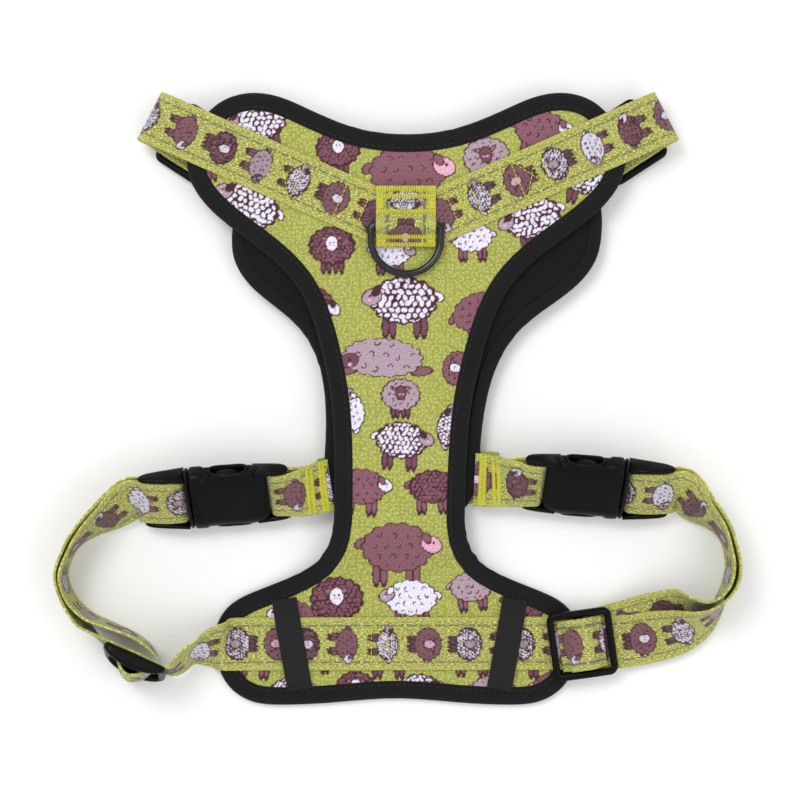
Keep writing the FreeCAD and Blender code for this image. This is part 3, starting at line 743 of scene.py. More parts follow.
def black_cloth_finish(name, tone, relief, pitch):
    """Black textile: soft blotches, a fine weave and a dry, dusty sheen."""
    finish = Finish(name)
    flat = finish.place()
    blotch = finish.noise(flat, 60.0, 3.0)
    fuzz = finish.noise(flat, 1500.0, 2.0)
    finish.color(finish.mix(finish.average(blotch, fuzz), scaled(tone, 0.75), scaled(tone, 1.6)))
    ribs = finish.node("ShaderNodeTexWave", Scale=1.0 / pitch, Distortion=0.6, bands_direction="DIAGONAL")
    finish.link(flat, ribs.inputs["Vector"])
    height = finish.math("ADD", fuzz, finish.math("MULTIPLY", ribs.outputs[1], 0.6))
    finish.bump(height, relief, 0.7)
    finish.surface(Roughness=0.93, Specular_IOR_Level=0.14, Sheen_Weight=0.05, Sheen_Roughness=0.6)
    return finish.material


def tape_finish(name, tone):
    """Black woven tape with ribs along its length."""
    finish = Finish(name)
    flat = finish.flat()
    knit = weave(finish, flat, 0.8, 1.3)[0]
    fuzz = finish.noise(flat, 1.4, 3.0)
    finish.color(finish.mix(finish.average(knit, fuzz), scaled(tone, 0.7), scaled(tone, 1.7)))
    finish.bump(finish.math("ADD", knit, fuzz), 0.0003, 0.8)
    finish.surface(Roughness=0.8, Specular_IOR_Level=0.2, Sheen_Weight=0.06)
    return finish.material


def plastic_finish(name):
    """Black moulded plastic: satin, slightly orange-peeled, with fine scuffs."""
    finish = Finish(name)
    flat = finish.place()
    peel = finish.noise(flat, 420.0, 2.0)
    scuff = finish.noise(flat, 90.0, 5.0, 0.7)
    finish.color(finish.mix(scuff, linear(4, 4, 5), linear(9, 9, 10)))
    finish.roughness(finish.math("MULTIPLY_ADD", scuff, 0.22, 0.24))
    finish.bump(finish.math("ADD", peel, finish.math("MULTIPLY", scuff, 0.4)), 0.00006, 0.5)
    finish.surface(Specular_IOR_Level=0.12)
    return finish.material


def metal_finish(name):
    """Polished gunmetal plating with faint wear and drawing marks."""
    finish = Finish(name)
    flat = finish.place()
    wear = finish.noise(flat, 160.0, 4.0, 0.6)
    finish.color(finish.mix(wear, linear(44, 44, 47), linear(78, 78, 82)))
    finish.roughness(finish.math("MULTIPLY_ADD", wear, 0.16, 0.14))
    finish.bump(finish.noise(flat, 900.0, 2.0), 0.00002, 0.4)
    finish.surface(Metallic=1.0)
    return finish.material


def thread_finish(name, dark, light):
    """Sewing thread with twisted strands."""
    finish = Finish(name)
    flat = finish.place()
    twist = finish.node("ShaderNodeTexWave", Scale=900.0, Distortion=2.0, bands_direction="DIAGONAL")
    finish.link(flat, twist.inputs["Vector"])
    tone = finish.noise(flat, 300.0, 2.0)
    finish.color(finish.mix(finish.average(twist.outputs[1], tone), dark, light))
    finish.bump(twist.outputs[1], 0.0001, 0.6)
    finish.surface(Roughness=0.5, Specular_IOR_Level=0.4, Sheen_Weight=0.1)
    return finish.material


CLOTH = cloth_finish("printed_cloth")
WEBBING = webbing_finish("printed_webbing")
BINDING = black_cloth_finish("binding_tape", linear(20, 20, 21), 0.00016, 0.0011)
LINING = black_cloth_finish("lining_mesh", linear(17, 17, 18), 0.00026, 0.0019)
KEEPER_TAPE = tape_finish("keeper_tape", linear(27, 27, 28))
PLASTIC = plastic_finish("black_plastic")
METAL = metal_finish("gunmetal")
THREAD = thread_finish("strap_thread", linear(196, 194, 20), linear(226, 224, 70))
DARK_THREAD = thread_finish("black_thread", linear(12, 12, 12), linear(26, 26, 26))


# ---------------------------------------------------------------- stage

def stage():
    """Pale floor, soft studio light and the camera straight above."""
    scene = bpy.context.scene
    scene.view_settings.view_transform = "Standard"
    scene.view_settings.look = "None"

    floor_finish = Finish("paper_floor")
    speckle = floor_finish.noise(floor_finish.place(), 40.0, 3.0)
    floor_finish.color(floor_finish.mix(speckle, (0.90, 0.90, 0.90), (0.93, 0.93, 0.93)))
    floor_finish.surface(Roughness=0.9, Specular_IOR_Level=0.1)
    mesh = bpy.data.meshes.new("floor")
    corners = [(x * FLOOR_HALF, y * FLOOR_HALF, 0) for x, y in ((-1, -1), (1, -1), (1, 1), (-1, 1))]
    mesh.from_pydata(corners, [], [(0, 1, 2, 3)])
    mesh.materials.append(floor_finish.material)
    floor = bpy.data.objects.new("floor", mesh)
    floor.location.z = -FLOOR_DROP
    scene.collection.objects.link(floor)

    world = bpy.data.worlds.new("studio")
    world.use_nodes = True
    sky = world.node_tree.nodes["Background"]
    sky.inputs["Color"].default_value = (1.0, 1.0, 1.0, 1.0)
    sky.inputs["Strength"].default_value = SKY_STRENGTH
    scene.world = world
    for name, place, power, width in LAMPS:
        lamp = bpy.data.lights.new(name, "AREA")
        lamp.energy = power
        lamp.size = width
        holder = bpy.data.objects.new(name, lamp)
        holder.location = place
        holder.rotation_euler = (-Vector(place)).to_track_quat("-Z", "Y").to_euler()
        scene.collection.objects.link(holder)

    camera = bpy.data.cameras.new("camera")
    camera.lens = CAMERA_LENS
    camera.sensor_width = 36.0
    camera.clip_start = 0.02
    eye = bpy.data.objects.new("camera", camera)
    eye.location = CAMERA_PLACE
    scene.collection.objects.link(eye)
    scene.camera = eye


# ---------------------------------------------------------------- panels

def inside_distance(points, edge, inward):
    """Distance inside a closed outline at each point, negative outside."""
    tree = kdtree.KDTree(len(edge))
    for i, (x, y) in enumerate(edge.tolist()):
        tree.insert((x, y, 0.0), i)
    tree.balance()
    nearest = np.array([tree.find((x, y, 0.0))[1] for x, y in points.tolist()])
    offset = points - edge[nearest]
    side = np.sign(np.sum(offset * inward[nearest], axis=1))
    return side * np.linalg.norm(offset, axis=1)


def beside_strip(points, start, end, half_width):
    """Distance of flat points from a straight strip, 0 on it."""
    start = np.asarray(start, float)
    end = np.asarray(end, float)
    length = np.linalg.norm(end - start)
    along = (end - start) / length
    offset = points - start
    run = offset @ along
    off = np.abs(offset @ np.array([-along[1], along[0]]))
    return np.hypot(np.maximum(off - half_width, 0), np.maximum(np.maximum(-run, run - length), 0))


def neck_points(side):
    """Meeting point and fold of one neck strap, flat."""
    sign = sign_of(side)
    meet = np.array([NECK_CENTER_X + sign * NECK_MEET[0], NECK_MEET[1]])
    fold = np.array([NECK_CENTER_X + sign * NECK_FOLD[0], NECK_FOLD[1]])
    return meet, fold


def pressed(points):
    """1 where a strap lies on the chest panel, falling to 0 beside it."""
    half = STRAP_WIDTH / 2
    strips = [((4, 70), (4, 102), 15.0), ((-80, -116.6), (80, -116.2), half)]
    for side in ("left", "right"):
        top, foot = (np.array([CHEST_CENTER_X + sign_of(side) * x, y]) for x, y in (KEEPER_TOP, KEEPER_FOOT))
        strips += [(*neck_points(side), half), (top, foot, KEEPER_WIDTH / 2)]
    distance = np.min([beside_strip(points, *strip) for strip in strips], axis=0)
    return 1 - smoothstep(distance / 6.0)


def soft_noise(points, scale, seed):
    """Slow noise from about -1 to 1 over flat points, as crossing waves with seeded phases."""
    rng = np.random.default_rng(seed)
    total = np.zeros(len(points))
    for k in range(7):
        angle = rng.uniform(0, math.pi)
        pitch = scale * rng.uniform(0.6, 1.7)
        run = points[:, 0] * math.cos(angle) + points[:, 1] * math.sin(angle)
        total += np.sin(run * 2 * math.pi / pitch + rng.uniform(0, 2 * math.pi))
    return total / 3.0


def panel_grid(edge, inward, step, margin):
    """Grid points at least a margin inside an outline, their faces, and their inside distances."""
    low = edge.min(0)
    high = edge.max(0)
    xs = np.arange(low[0], high[0] + step, step)
    ys = np.arange(low[1], high[1] + step, step)
    points = np.stack(np.meshgrid(xs, ys), axis=-1).reshape(-1, 2)
    distance = inside_distance(points, edge, inward)
    quads = np.array(grid_faces(len(ys), len(xs)))
    quads = quads[np.all(distance[quads] > margin, axis=1)]
    used = np.unique(quads)
    renumber = np.full(len(points), -1)
    renumber[used] = np.arange(len(used))
    return points[used], renumber[quads], distance[used]


def hemmed(points, quads, depth):
    """Sheet with its rim turned in the z direction, so that its edge has a thickness."""
    edges = np.concatenate([quads[:, [0, 1]], quads[:, [1, 2]], quads[:, [2, 3]], quads[:, [3, 0]]])
    keys = np.sort(edges, axis=1)
    unique, first, counts = np.unique(keys, axis=0, return_index=True, return_counts=True)
    rim = edges[first[counts == 1]]
    old = np.unique(rim)
    lower = np.full(len(points), -1)
    lower[old] = len(points) + np.arange(len(old))
    added = points[old] + (0, 0, depth)
    walls = np.stack([rim[:, 1], rim[:, 0], lower[rim[:, 0]], lower[rim[:, 1]]], axis=1)
    return np.vstack([points, added]), np.vstack([quads, walls]), old


def panel_cloth(name, edge, step, margin, height, finish, slot, hem, flip, flock=None):
    """One skin of a panel over its whole outline, turned over if it faces down."""
    flat, quads, distance = panel_grid(*edge, step, margin)
    if flip:
        quads = quads[:, ::-1]
    points, quads, old = hemmed(np.column_stack([flat, height(flat, distance)]), quads, hem)
    uv = np.vstack([flat, flat[old]])
    colors = panel_print(uv, flock) if flock else None
    return piece(name, points, quads.tolist(), finish, slot, "harness", uv=uv, colors=colors)


CHEST_EDGE = outline(CHEST_HALF, CHEST_CENTER_X, CHEST_LEAN, OUTLINE_STEP)
BACK_EDGE = outline(BACK_HALF, BACK_CENTER_X, BACK_LEAN, OUTLINE_STEP)


def chest_face_height(flat, distance):
    """Top of the chest panel: puffed between the straps, held down at the binding."""
    open_area = 1 - pressed(flat)
    rise = 0.36 * smoothstep((distance - 7.5) / 4)
    puff = 0.75 * open_area * smoothstep((distance - 8.0) / 8) * (1 + 0.25 * soft_noise(flat, 42, 5))
    ripple = 0.05 * open_area * soft_noise(flat, 11, 6)
    return ramp_height(flat[:, 1]) + 3.62 + rise + puff + ripple


def chest_lining_height(flat, distance):
    """Underside of the chest panel."""
    lift = 0.28 + 0.12 * np.abs(soft_noise(flat, 18, 7)) - 0.20 * smoothstep((distance - 7.5) / 6)
    return ramp_height(flat[:, 1]) + lift


def back_face_height(flat, distance):
    """Printed underside of the back panel."""
    return BACK_PANEL_Z + 0.30 - 0.22 * smoothstep((distance - 7.5) / 5) + 0.05 * soft_noise(flat, 14, 8)


def back_lining_height(flat, distance):
    """Top of the back panel: smooth lining with a seam groove inside its edge."""
    groove = 0.55 * np.exp(-((distance - 6.4) / 0.7) ** 2)
    dome = 0.35 * smoothstep((distance - 6.4) / 7)
    return BACK_PANEL_Z + 3.65 + dome - groove + 0.05 * soft_noise(flat, 16, 9)


# Binding from its inner edge underneath, round the outside, to its inner edge on top: depth in, height
BINDING_PROFILE = [
    (8.7, 0.45), (8.5, 0.08), (7.6, 0.0), (6.9, 0.10), (6.2, 0.0), (4.0, 0.0), (2.2, 0.10), (1.0, 0.50),
    (0.25, 1.15), (0.0, 2.0), (0.25, 2.9), (0.9, 3.6), (2.0, 4.05), (3.4, 4.28), (5.0, 4.36), (6.2, 4.34),
    (6.9, 4.20), (7.6, 4.34), (8.3, 4.26), (8.7, 3.95), (8.75, 3.3),
]
BINDING_TOP = 4.36
BINDING_MIDDLE = 2.0
BINDING_SEAM = 6.9


def binding(name, edge, inward, height, narrow, top, seed):
    """Folded tape round a panel's edge, puckered at its inside corners, and the line of its stitches."""
    count = len(edge)
    profile = np.array(BINDING_PROFILE)
    curve = inward[:, 0] * np.roll(inward[:, 1], -3) - inward[:, 1] * np.roll(inward[:, 0], -3)
    tight = np.clip(-6 * curve * np.sign(curve.sum()), 0, 1)
    along = np.arange(count) * OUTLINE_STEP
    press = pressed(edge + inward * 5) if height is ramp_height else np.zeros(count)
    rng = np.random.default_rng(seed)
    pucker = np.zeros(count)
    for k in range(6):
        turns = round(count * OUTLINE_STEP / rng.uniform(5, 14))
        pucker += np.sin(along * 2 * math.pi * turns / (count * OUTLINE_STEP) + rng.uniform(0, 6.3))
    pucker /= 3
    rings = []
    for depth, level in profile:
        share = max(0.0, level - BINDING_MIDDLE) / 2.3
        deep = depth * narrow if level > BINDING_MIDDLE else depth
        ruffle = 0.30 if depth < 3 else 0.12
        place = edge + inward * (deep + ruffle * pucker[:, None] * tight[:, None])
        lift = (level + share * (0.05 * pucker + 0.22 * pucker * tight) - share * press * 0.32
                + share * (top - BINDING_TOP))
        if level < 0.2:
            lift = np.full(count, level)
        rings.append(np.column_stack([place, height(place[:, 1]) + lift]))
    points, faces = tube(np.stack(rings, axis=1), True)
    uv = np.stack([np.repeat(along, len(profile)), np.tile(profile[:, 0] + profile[:, 1] * 3, count)], axis=1)
    made = piece(name, points, faces, BINDING, "binding", "harness", uv=uv)
    line = edge + inward * BINDING_SEAM * narrow
    seam = np.column_stack([line, height(line[:, 1]) + top - 0.10 - press * 0.30 + 0.05 * pucker])
    return made, seam


# ---------------------------------------------------------------- stitches

def stitch_mesh(segments, radius):
    """Short rounded threads between pairs of points."""
    parts = []
    for start, end in segments:
        start = np.asarray(start, float)
        end = np.asarray(end, float)
        along = unit(end - start)
        side = unit(np.cross(along, UP if abs(along[2]) < 0.9 else (1.0, 0, 0)))
        high = np.cross(side, along)
        rings = []
        for share, swell, lift in ((0.0, 0.35, -0.7), (0.18, 0.9, 0.0), (0.5, 1.0, 0.25), (0.82, 0.9, 0.0),
                                   (1.0, 0.35, -0.7)):
            center = start + (end - start) * share + high * radius * lift
            rings.append([center + (side * math.cos(a) + high * math.sin(a)) * radius * swell
                          for a in np.linspace(0, 2 * math.pi, 6, endpoint=False)])
        parts.append(tube(rings, False))
    return joined(parts)


def running_stitches(line, pitch, length):
    """Stitch segments spaced along a line of points."""
    line = np.asarray(line, float)
    distance = np.concatenate([[0], np.cumsum(np.linalg.norm(np.diff(line, axis=0), axis=1))])
    starts = np.arange(pitch / 2, distance[-1] - length, pitch)
    segments = []
    for at in starts:
        segments.append([[np.interp(at + extra, distance, line[:, k]) for k in range(3)]
                         for extra in (0.0, length)])
    return segments


def stitches(name, segments, radius, finish, slot):
    """One piece made of many stitches."""
    return piece(name, *stitch_mesh(segments, radius), finish, slot, "harness")


# Each panel: outline, then
# its face: mesh step, height, hem depth, whether it is turned over, flock;
# its lining: mesh step, distance inside the outline, height, hem depth, whether it is turned over;
# its tape: underside, share of the width on top, top, seed
PANELS = {
    "chest": (CHEST_EDGE, (FACE_STEP, chest_face_height, -1.2, False, CHEST_SHEEP),
              (CHEST_LINING_STEP, 4.0, chest_lining_height, 0.8, True), (ramp_height, 1.0, BINDING_TOP, 11)),
    "back": (BACK_EDGE, (HIDDEN_STEP, back_face_height, 1.2, True, BACK_SHEEP),
             (BACK_LINING_STEP, 3.2, back_lining_height, -0.8, False), (flat_height, 0.72, 3.98, 12)),
}


def panels():
    """Both padded panels with their linings and bindings, and the chest panel's edge stitches."""
    for name, (edge, face, lining, tape) in PANELS.items():
        step, height, hem, flip, flock = face
        made = panel_cloth(name + "_panel_face", edge, step, 4.0, height, CLOTH, "printed_fabric", hem, flip,
                           flock)
        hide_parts(name + "_face", name + "_foam")
        step, margin, height, hem, flip = lining
        made = panel_cloth(name + "_panel_lining", edge, step, margin, height, LINING, "lining", hem, flip)
        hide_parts(name + "_lining")
        made, seam = binding(name + "_panel_binding", *edge, *tape)
        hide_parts(name + "_binding")
        if name == "chest":
            stitches("chest_binding_stitches", running_stitches(seam, 3.1, 2.2), 0.20, DARK_THREAD, "binding")


# ---------------------------------------------------------------- webbing

def strap_profile(width, thick, step):
    """Cross-section of webbing with rounded, slightly thicker edges: across, outward."""
    half = width / 2
    flat = np.linspace(-(half - 0.5), half - 0.5, int(width / step) + 1)
    rise = thick / 2 * (0.92 + 0.16 * np.exp(-((np.abs(flat) - (half - 1.2)) / 0.8) ** 2))
    front = [(v, w) for v, w in zip(flat, rise)]
    edge = [(half - 0.14, thick * 0.34), (half, 0.0), (half - 0.14, -thick * 0.34)]
    back = [(v, -w) for v, w in reversed(front)]
    return np.array(front + edge + back + [(-v, -w) for v, w in edge])


def strap_skin(sections, width, thick, step):
    """Points, faces and flat coordinates of webbing through sections."""
    even, at = resample(np.asarray(sections, float), step)
    profile = strap_profile(width, thick, step)
    centers, across, outward = even[:, None, 0], even[:, None, 1], even[:, None, 2]
    points, faces = tube(centers + across * profile[None, :, :1] + outward * profile[None, :, 1:], False)
    uv = np.stack([np.repeat(at, len(profile)), np.tile(profile[:, 0], len(at))], axis=1)
    return points, faces, uv


def strap(name, sections, body="harness", first=0, direction=1, nodes=(), width=STRAP_WIDTH):
    """Printed webbing that stands for its CAD nodes."""
    points, faces, uv = strap_skin(sections, width, STRAP_THICK, STRAP_STEP)
    colors = strap_print(uv[:, 0], uv[:, 1], first, direction)
    made = piece(name, points, faces, WEBBING, "printed_webbing", body, uv=uv, colors=colors)
    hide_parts(*nodes)
    return made


def neck_sections(side):
    """Neck strap: along the V, round the outer fold and back under to the back panel."""
    meet, fold = neck_points(side)
    outwards = np.append(unit(fold - meet), 0.0)
    back = neck_return(side)
    radius = (NECK_STRAP_Z - UNDER_STRAP_Z) / 2
    places = [(*meet, NECK_STRAP_Z)]
    for share in (0.25, 0.5, 0.75, 1.0):
        places.append((*(meet + (fold - meet) * share), NECK_STRAP_Z))
    for step in range(1, 10):
        angle = math.pi * step / 10
        place = np.append(fold, 0.0) + outwards * (radius * math.sin(angle))
        places.append((place[0], place[1], UNDER_STRAP_Z + radius * (1 + math.cos(angle))))
    for share in (0.0, 0.3, 0.6, 1.0):
        place = np.append(fold, 0.0) + back * NECK_RETURN_LENGTH * share
        places.append((place[0], place[1], UNDER_STRAP_Z))
    places = np.array(places)
    travel = unit(np.vstack([places[1:], places[-1:]]) - np.vstack([places[:1], places[:-1]]))
    across_first = np.cross(UP, outwards)
    across_last = np.cross(UP, -back)
    result = []
    for i, place in enumerate(places):
        share = min(1.0, max(0.0, (i - 4) / 11))
        across = across_first * (1 - share) + across_last * share
        across = unit(across - travel[i] * np.dot(across, travel[i]))
        result.append((place, across, np.cross(travel[i], across)))
    return np.array(result)


def neck_return(side):
    """Direction of a neck strap's lower layer, from the fold to the back panel."""
    sign = sign_of(side)
    return plan_direction(-90 - sign * (90 - NECK_RETURN_ANGLE))


def buckle_axes(side):
    """Start point and the outward, across and face directions of one buckle."""
    sign = sign_of(side)
    droop = math.radians(BUCKLE_DROOP)
    tilt = math.radians(BUCKLE_TILT)
    along = np.array([sign * math.cos(droop), -math.sin(droop), 0])
    neckward = np.array([sign * math.sin(droop), math.cos(droop), 0])
    across = neckward * math.cos(tilt) + UP * math.sin(tilt)
    facing = UP * math.cos(tilt) - neckward * math.sin(tilt)
    return np.array([*BUCKLE_START[side], BUCKLE_Z]), along, across, facing


def buckle_place(side, local):
    """Points in buckle coordinates (along, across, through) moved to their place."""
    start, along, across, facing = buckle_axes(side)
    local = np.asarray(local, float)
    return start + local[..., :1] * along + local[..., 1:2] * across + local[..., 2:3] * facing


def bar_stations(side, bar_u, entry_u, steps):
    """Stations that lead webbing straight onto a bar, on the buckle's lower face."""
    stations = []
    for step in range(steps + 1):
        place = buckle_place(side, (entry_u + (bar_u - entry_u) * step / steps, 0, -BAR_WRAP))
        stations.append((*place, BUCKLE_TURN))
    return stations


def leaving_bar(side, places):
    """Stations that lead webbing off a bar on the buckle's upper face, from (along, through, turn) places."""
    return [(*buckle_place(side, (u, 0, w)), turn) for u, w, turn in places]


def back_strap_sections(side):
    """Short strap from under the back panel round the housing's bar and back over the panel's edge."""
    sign = sign_of(side)
    edge = {"left": -34.5, "right": 44.0}[side]
    y = {"left": -40.0, "right": -37.0}[side]
    stations = [(edge - sign * 22, y + 0.5, UNDER_STRAP_Z, 180), (edge - sign * 8, y, UNDER_STRAP_Z, 180),
                (edge + sign * 1.5, y - 0.3, UNDER_STRAP_Z + 0.5, 176),
                (edge + sign * 6.0, y - 0.7, 8.3, 161)] + bar_stations(side, HOUSING_BAR_U, -2.5, 2)
    back = leaving_bar(side, ((HOUSING_BAR_U, BAR_WRAP, BUCKLE_TURN), (3.0, 2.9, 142), (-1.0, 2.6, 147),
                              (-4.0, 2.0, 153)))
    back += {"left": [(-40.0, -42.2, 13.6, 162), (-35.5, -41.3, 11.5, 171), (-31.5, -40.6, 10.3, 176)],
             "right": [(48.0, -38.6, 13.6, 162), (42.5, -38.2, 11.4, 171), (36.5, -37.8, 10.3, 176)]}[side]
    return looped(frames(smooth(stations, SPAN), sign), smooth(back, SPAN), -sign)


def girth_left_sections():
    """Left girth strap: twists on edge, runs behind the slider, out to the buckle and back."""
    stations = [(*GIRTH_CENTER[0], GIRTH_STRAP_Z, 0), (-63, -116.5, GIRTH_STRAP_Z, 0),
                (-74.0, -116.6, GIRTH_STRAP_Z, 0), (-80.0, -116.8, 5.4, 6), (-85.5, -117.4, 9.8, 26),
                resting(-91.0, -118.4, 46, 1.6), resting(-98.5, -121.0, 66, 1.0)]
    along = plan_direction(GIRTH_SLIDER_LEFT_ANGLE)
    for distance in (16.5, 0.0, -16.5):
        x = GIRTH_SLIDER_LEFT[0] + along[0] * distance
        y = GIRTH_SLIDER_LEFT[1] + along[1] * distance
        stations.append((x, y, 15.4, 90 - SLIDER_LEFT_LEAN))
    for x, y, turn in ((-148.4, -106.5, 90), (-156.5, -95, 90), (-160.2, -82, 90), (-155.6, -69.4, 92),
                       (-147.0, -60.5, 106), (-136.5, -53.2, 124)):
        stations.append(resting(x, y, turn, 0.4 + 4.2 * (turn - 90) / 50))
    stations += bar_stations("left", INSERT_BAR_U, INSERT_END + 6, 3)
    back = leaving_bar("left", ((INSERT_BAR_U, BAR_WRAP, BUCKLE_TURN), (60.0, 2.9, BUCKLE_TURN),
                                (68.0, 1.6, BUCKLE_TURN), (76.0, -0.9, BUCKLE_TURN)))
    back += [(-134.8, -54.6, 14.0, 124), (-145.2, -61.8, 13.6, 106), (-153.6, -70.6, 13.2, 92),
             (-158.2, -82.4, 13.1, 90), (-154.8, -93.8, 13.1, 90), (-146.6, -102.0, 13.3, 90),
             (-136.0, -106.6, 13.8, 88), (-126.0, -110.6, 14.4, 86), (-118.0, -116.0, 14.8, 84),
             (-113.6, -121.6, 15.0, 80)]
    return looped(frames(smooth(stations, SPAN), 1), smooth(back, SPAN), -1)


def girth_right_sections():
    """Right girth strap: runs flat under the slider, out to the buckle and back underneath."""
    stations = [(*GIRTH_CENTER[-1], GIRTH_STRAP_Z, 0), (68.2, -116.2, GIRTH_STRAP_Z, 0),
                (88.0, -116.2, GIRTH_STRAP_Z, 0), (105.0, -115.6, GIRTH_STRAP_Z, 0),
                (118.5, -113.6, GIRTH_STRAP_Z, 5)]
    for x, y, turn, low in ((133, -110.2, 24, 3.2), (144.5, -105.5, 50, 1.8), (152.8, -98.2, 74, 0.8),
                            (158.8, -88, 88, 0.4), (160.4, -77, 90, 0.4), (157.5, -66, 92, 0.5),
                            (151.5, -57.2, 104, 1.6), (143.2, -50.2, 122, 3.1)):
        stations.append(resting(x, y, turn, low))
    stations += bar_stations("right", INSERT_BAR_U, INSERT_END + 6, 3)
    back = leaving_bar("right", ((INSERT_BAR_U, BAR_WRAP, BUCKLE_TURN), (60.0, 2.9, BUCKLE_TURN),
                                 (68.0, 1.8, BUCKLE_TURN), (76.0, -0.4, BUCKLE_TURN)))
    back += [(141.6, -51.8, 14.4, 122), (149.6, -58.6, 13.8, 104), (155.2, -66.8, 13.3, 92),
             (157.6, -78.0, 13.1, 90), (155.4, -88.0, 13.0, 88), (149.6, -95.4, 12.6, 78),
             (141.6, -98.8, 10.4, 52), (133.4, -99.6, 7.2, 32), (124.0, -102.6, 5.2, 22),
             (112.0, -106.8, 3.9, 12), (100.0, -110.8, 3.0, 6), (90.0, -113.6, 2.9, 3)]
    return looped(frames(smooth(stations, SPAN), -1), smooth(back, SPAN), 1)


def straps():
    """All printed webbing apart from the ring tabs and slider wraps."""
    for side, first in (("left", 6), ("right", 1)):
        strap("neck_webbing_" + side, neck_sections(side), first=first, direction=-1,
              nodes=("neck_strap_" + side,))
        strap("back_webbing_" + side, back_strap_sections(side), first=first + 2, direction=1,
              nodes=("back_strap_" + side,))
    center = single(frames([(x, y, GIRTH_STRAP_Z, 0) for x, y in GIRTH_CENTER], 1))
    strap("girth_webbing_center", center, first=0, nodes=("girth_strap_center",))
    left = strap("girth_webbing_left", girth_left_sections(), body=None, first=3,
                 nodes=("girth_strap_left",))
    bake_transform(left)
    right = strap("girth_webbing_right", girth_right_sections(), body=None, first=4,
                  nodes=("girth_strap_right",))
    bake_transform(right)


# ---------------------------------------------------------------- ring tabs, keepers, strap stitching

def ring_tab(name, ring, side, nodes, first):
    """Webbing tab humped over a ring's bar, with satin rows round its two sewn boxes."""
    x, y, z = ring
    foot = -RING_WIRE - 0.05 + STRAP_THICK / 2
    hump = RING_WIRE + 0.1 + STRAP_THICK / 2
    outline_points = [(18.5, foot), (10, foot), (5.0, foot), (3.5, foot + 0.35), (2.35, 0.7), (1.2, 1.95),
                      (0, hump), (-1.2, 1.95), (-2.35, 0.7), (-3.5, foot + 0.35), (-5.0, foot), (-10.3, foot)]
    stations = [(x, y + dy, z + side * dz, 0 if side > 0 else 180) for dy, dz in outline_points]
    sections = single(frames(smooth(stations, 6), 1))
    strap(name, sections, first=first, nodes=nodes, width=2 * TAB_HALF_WIDTH)
    surface = z + side * (foot + STRAP_THICK / 2 + 0.12)
    segments = []

    def crosswise(dy, length):
        for dx in np.arange(-TAB_HALF_WIDTH + 0.6, TAB_HALF_WIDTH - 0.4, 0.8):
            segments.append(((x + dx, y + dy - length / 2, surface),
                             (x + dx + 0.25, y + dy + length / 2, surface)))

    for dy, length in ((17.2, 3.0), (13.6, 2.6), (6.4, 2.4), (-5.6, 2.2), (-9.2, 2.4)):
        crosswise(dy, length)
    for edge in (-12.2, 12.2):
        for dy in np.concatenate([np.arange(8.0, 12.4, 0.62), np.arange(-8.0, -6.8, 0.62)]):
            segments.append(((x + edge - 1.7, y + dy, surface), (x + edge + 1.7, y + dy + 0.2, surface)))
    stitches(name + "_satin", segments, 0.30, THREAD, "printed_webbing")


def keeper(side):
    """Black tape sewn at both ends over the girth strap."""
    sign = sign_of(side)
    low = PANEL_THICK + 0.6
    high = GIRTH_STRAP_Z + STRAP_THICK / 2 + 0.8
    stations = []
    for along, z in ((-0.01, low), (0.07, low + 0.1), (0.14, high - 0.3), (0.2, high), (0.5, high + 0.15),
                     (0.8, high), (0.86, high - 0.3), (0.93, low + 0.1), (1.01, low)):
        x = sign * (KEEPER_TOP[0] + (KEEPER_FOOT[0] - KEEPER_TOP[0]) * along) + CHEST_CENTER_X
        stations.append((x, KEEPER_TOP[1] + (KEEPER_FOOT[1] - KEEPER_TOP[1]) * along, z, 0))
    layer = frames(smooth(stations, 5), 1)
    points, faces, uv = strap_skin(single(layer), KEEPER_WIDTH, KEEPER_THICK, 0.7)
    made = piece("keeper_tape_" + side, points, faces, KEEPER_TAPE, "keeper_tape", "harness", uv=uv)
    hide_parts("keeper_" + side)
    places, travel, across, outward = layer
    segments = []
    for at in (2, 4, 36, 38):
        for v in np.arange(-5.0, 5.0, 1.5):
            start = places[at] + across[at] * v + outward[at] * 0.66
            segments.append((start, start + across[at] * 1.0))
    stitches("keeper_stitches_" + side, segments, 0.17, DARK_THREAD, "keeper_tape")


def strip_stitches(start, end, z, boxes, half):
    """Running stitches in a box with a cross inside, along a straight strap from start to end."""
    start = np.asarray(start, float)
    along = unit(np.asarray(end, float) - start)
    side = np.array([-along[1], along[0]])
    segments = []

    def run(first, last):
        line = [np.append(start + along * a + side * v, z) for a, v in (first, last)]
        segments.extend(running_stitches(line, 2.3, 1.8))

    for low, high in boxes:
        for v in (-half, half):
            run((low, v), (high, v))
        for a in (low, high):
            run((a, -half), (a, half))
        run((low, -half), (high, half))
        run((low, half), (high, -half))
    return segments


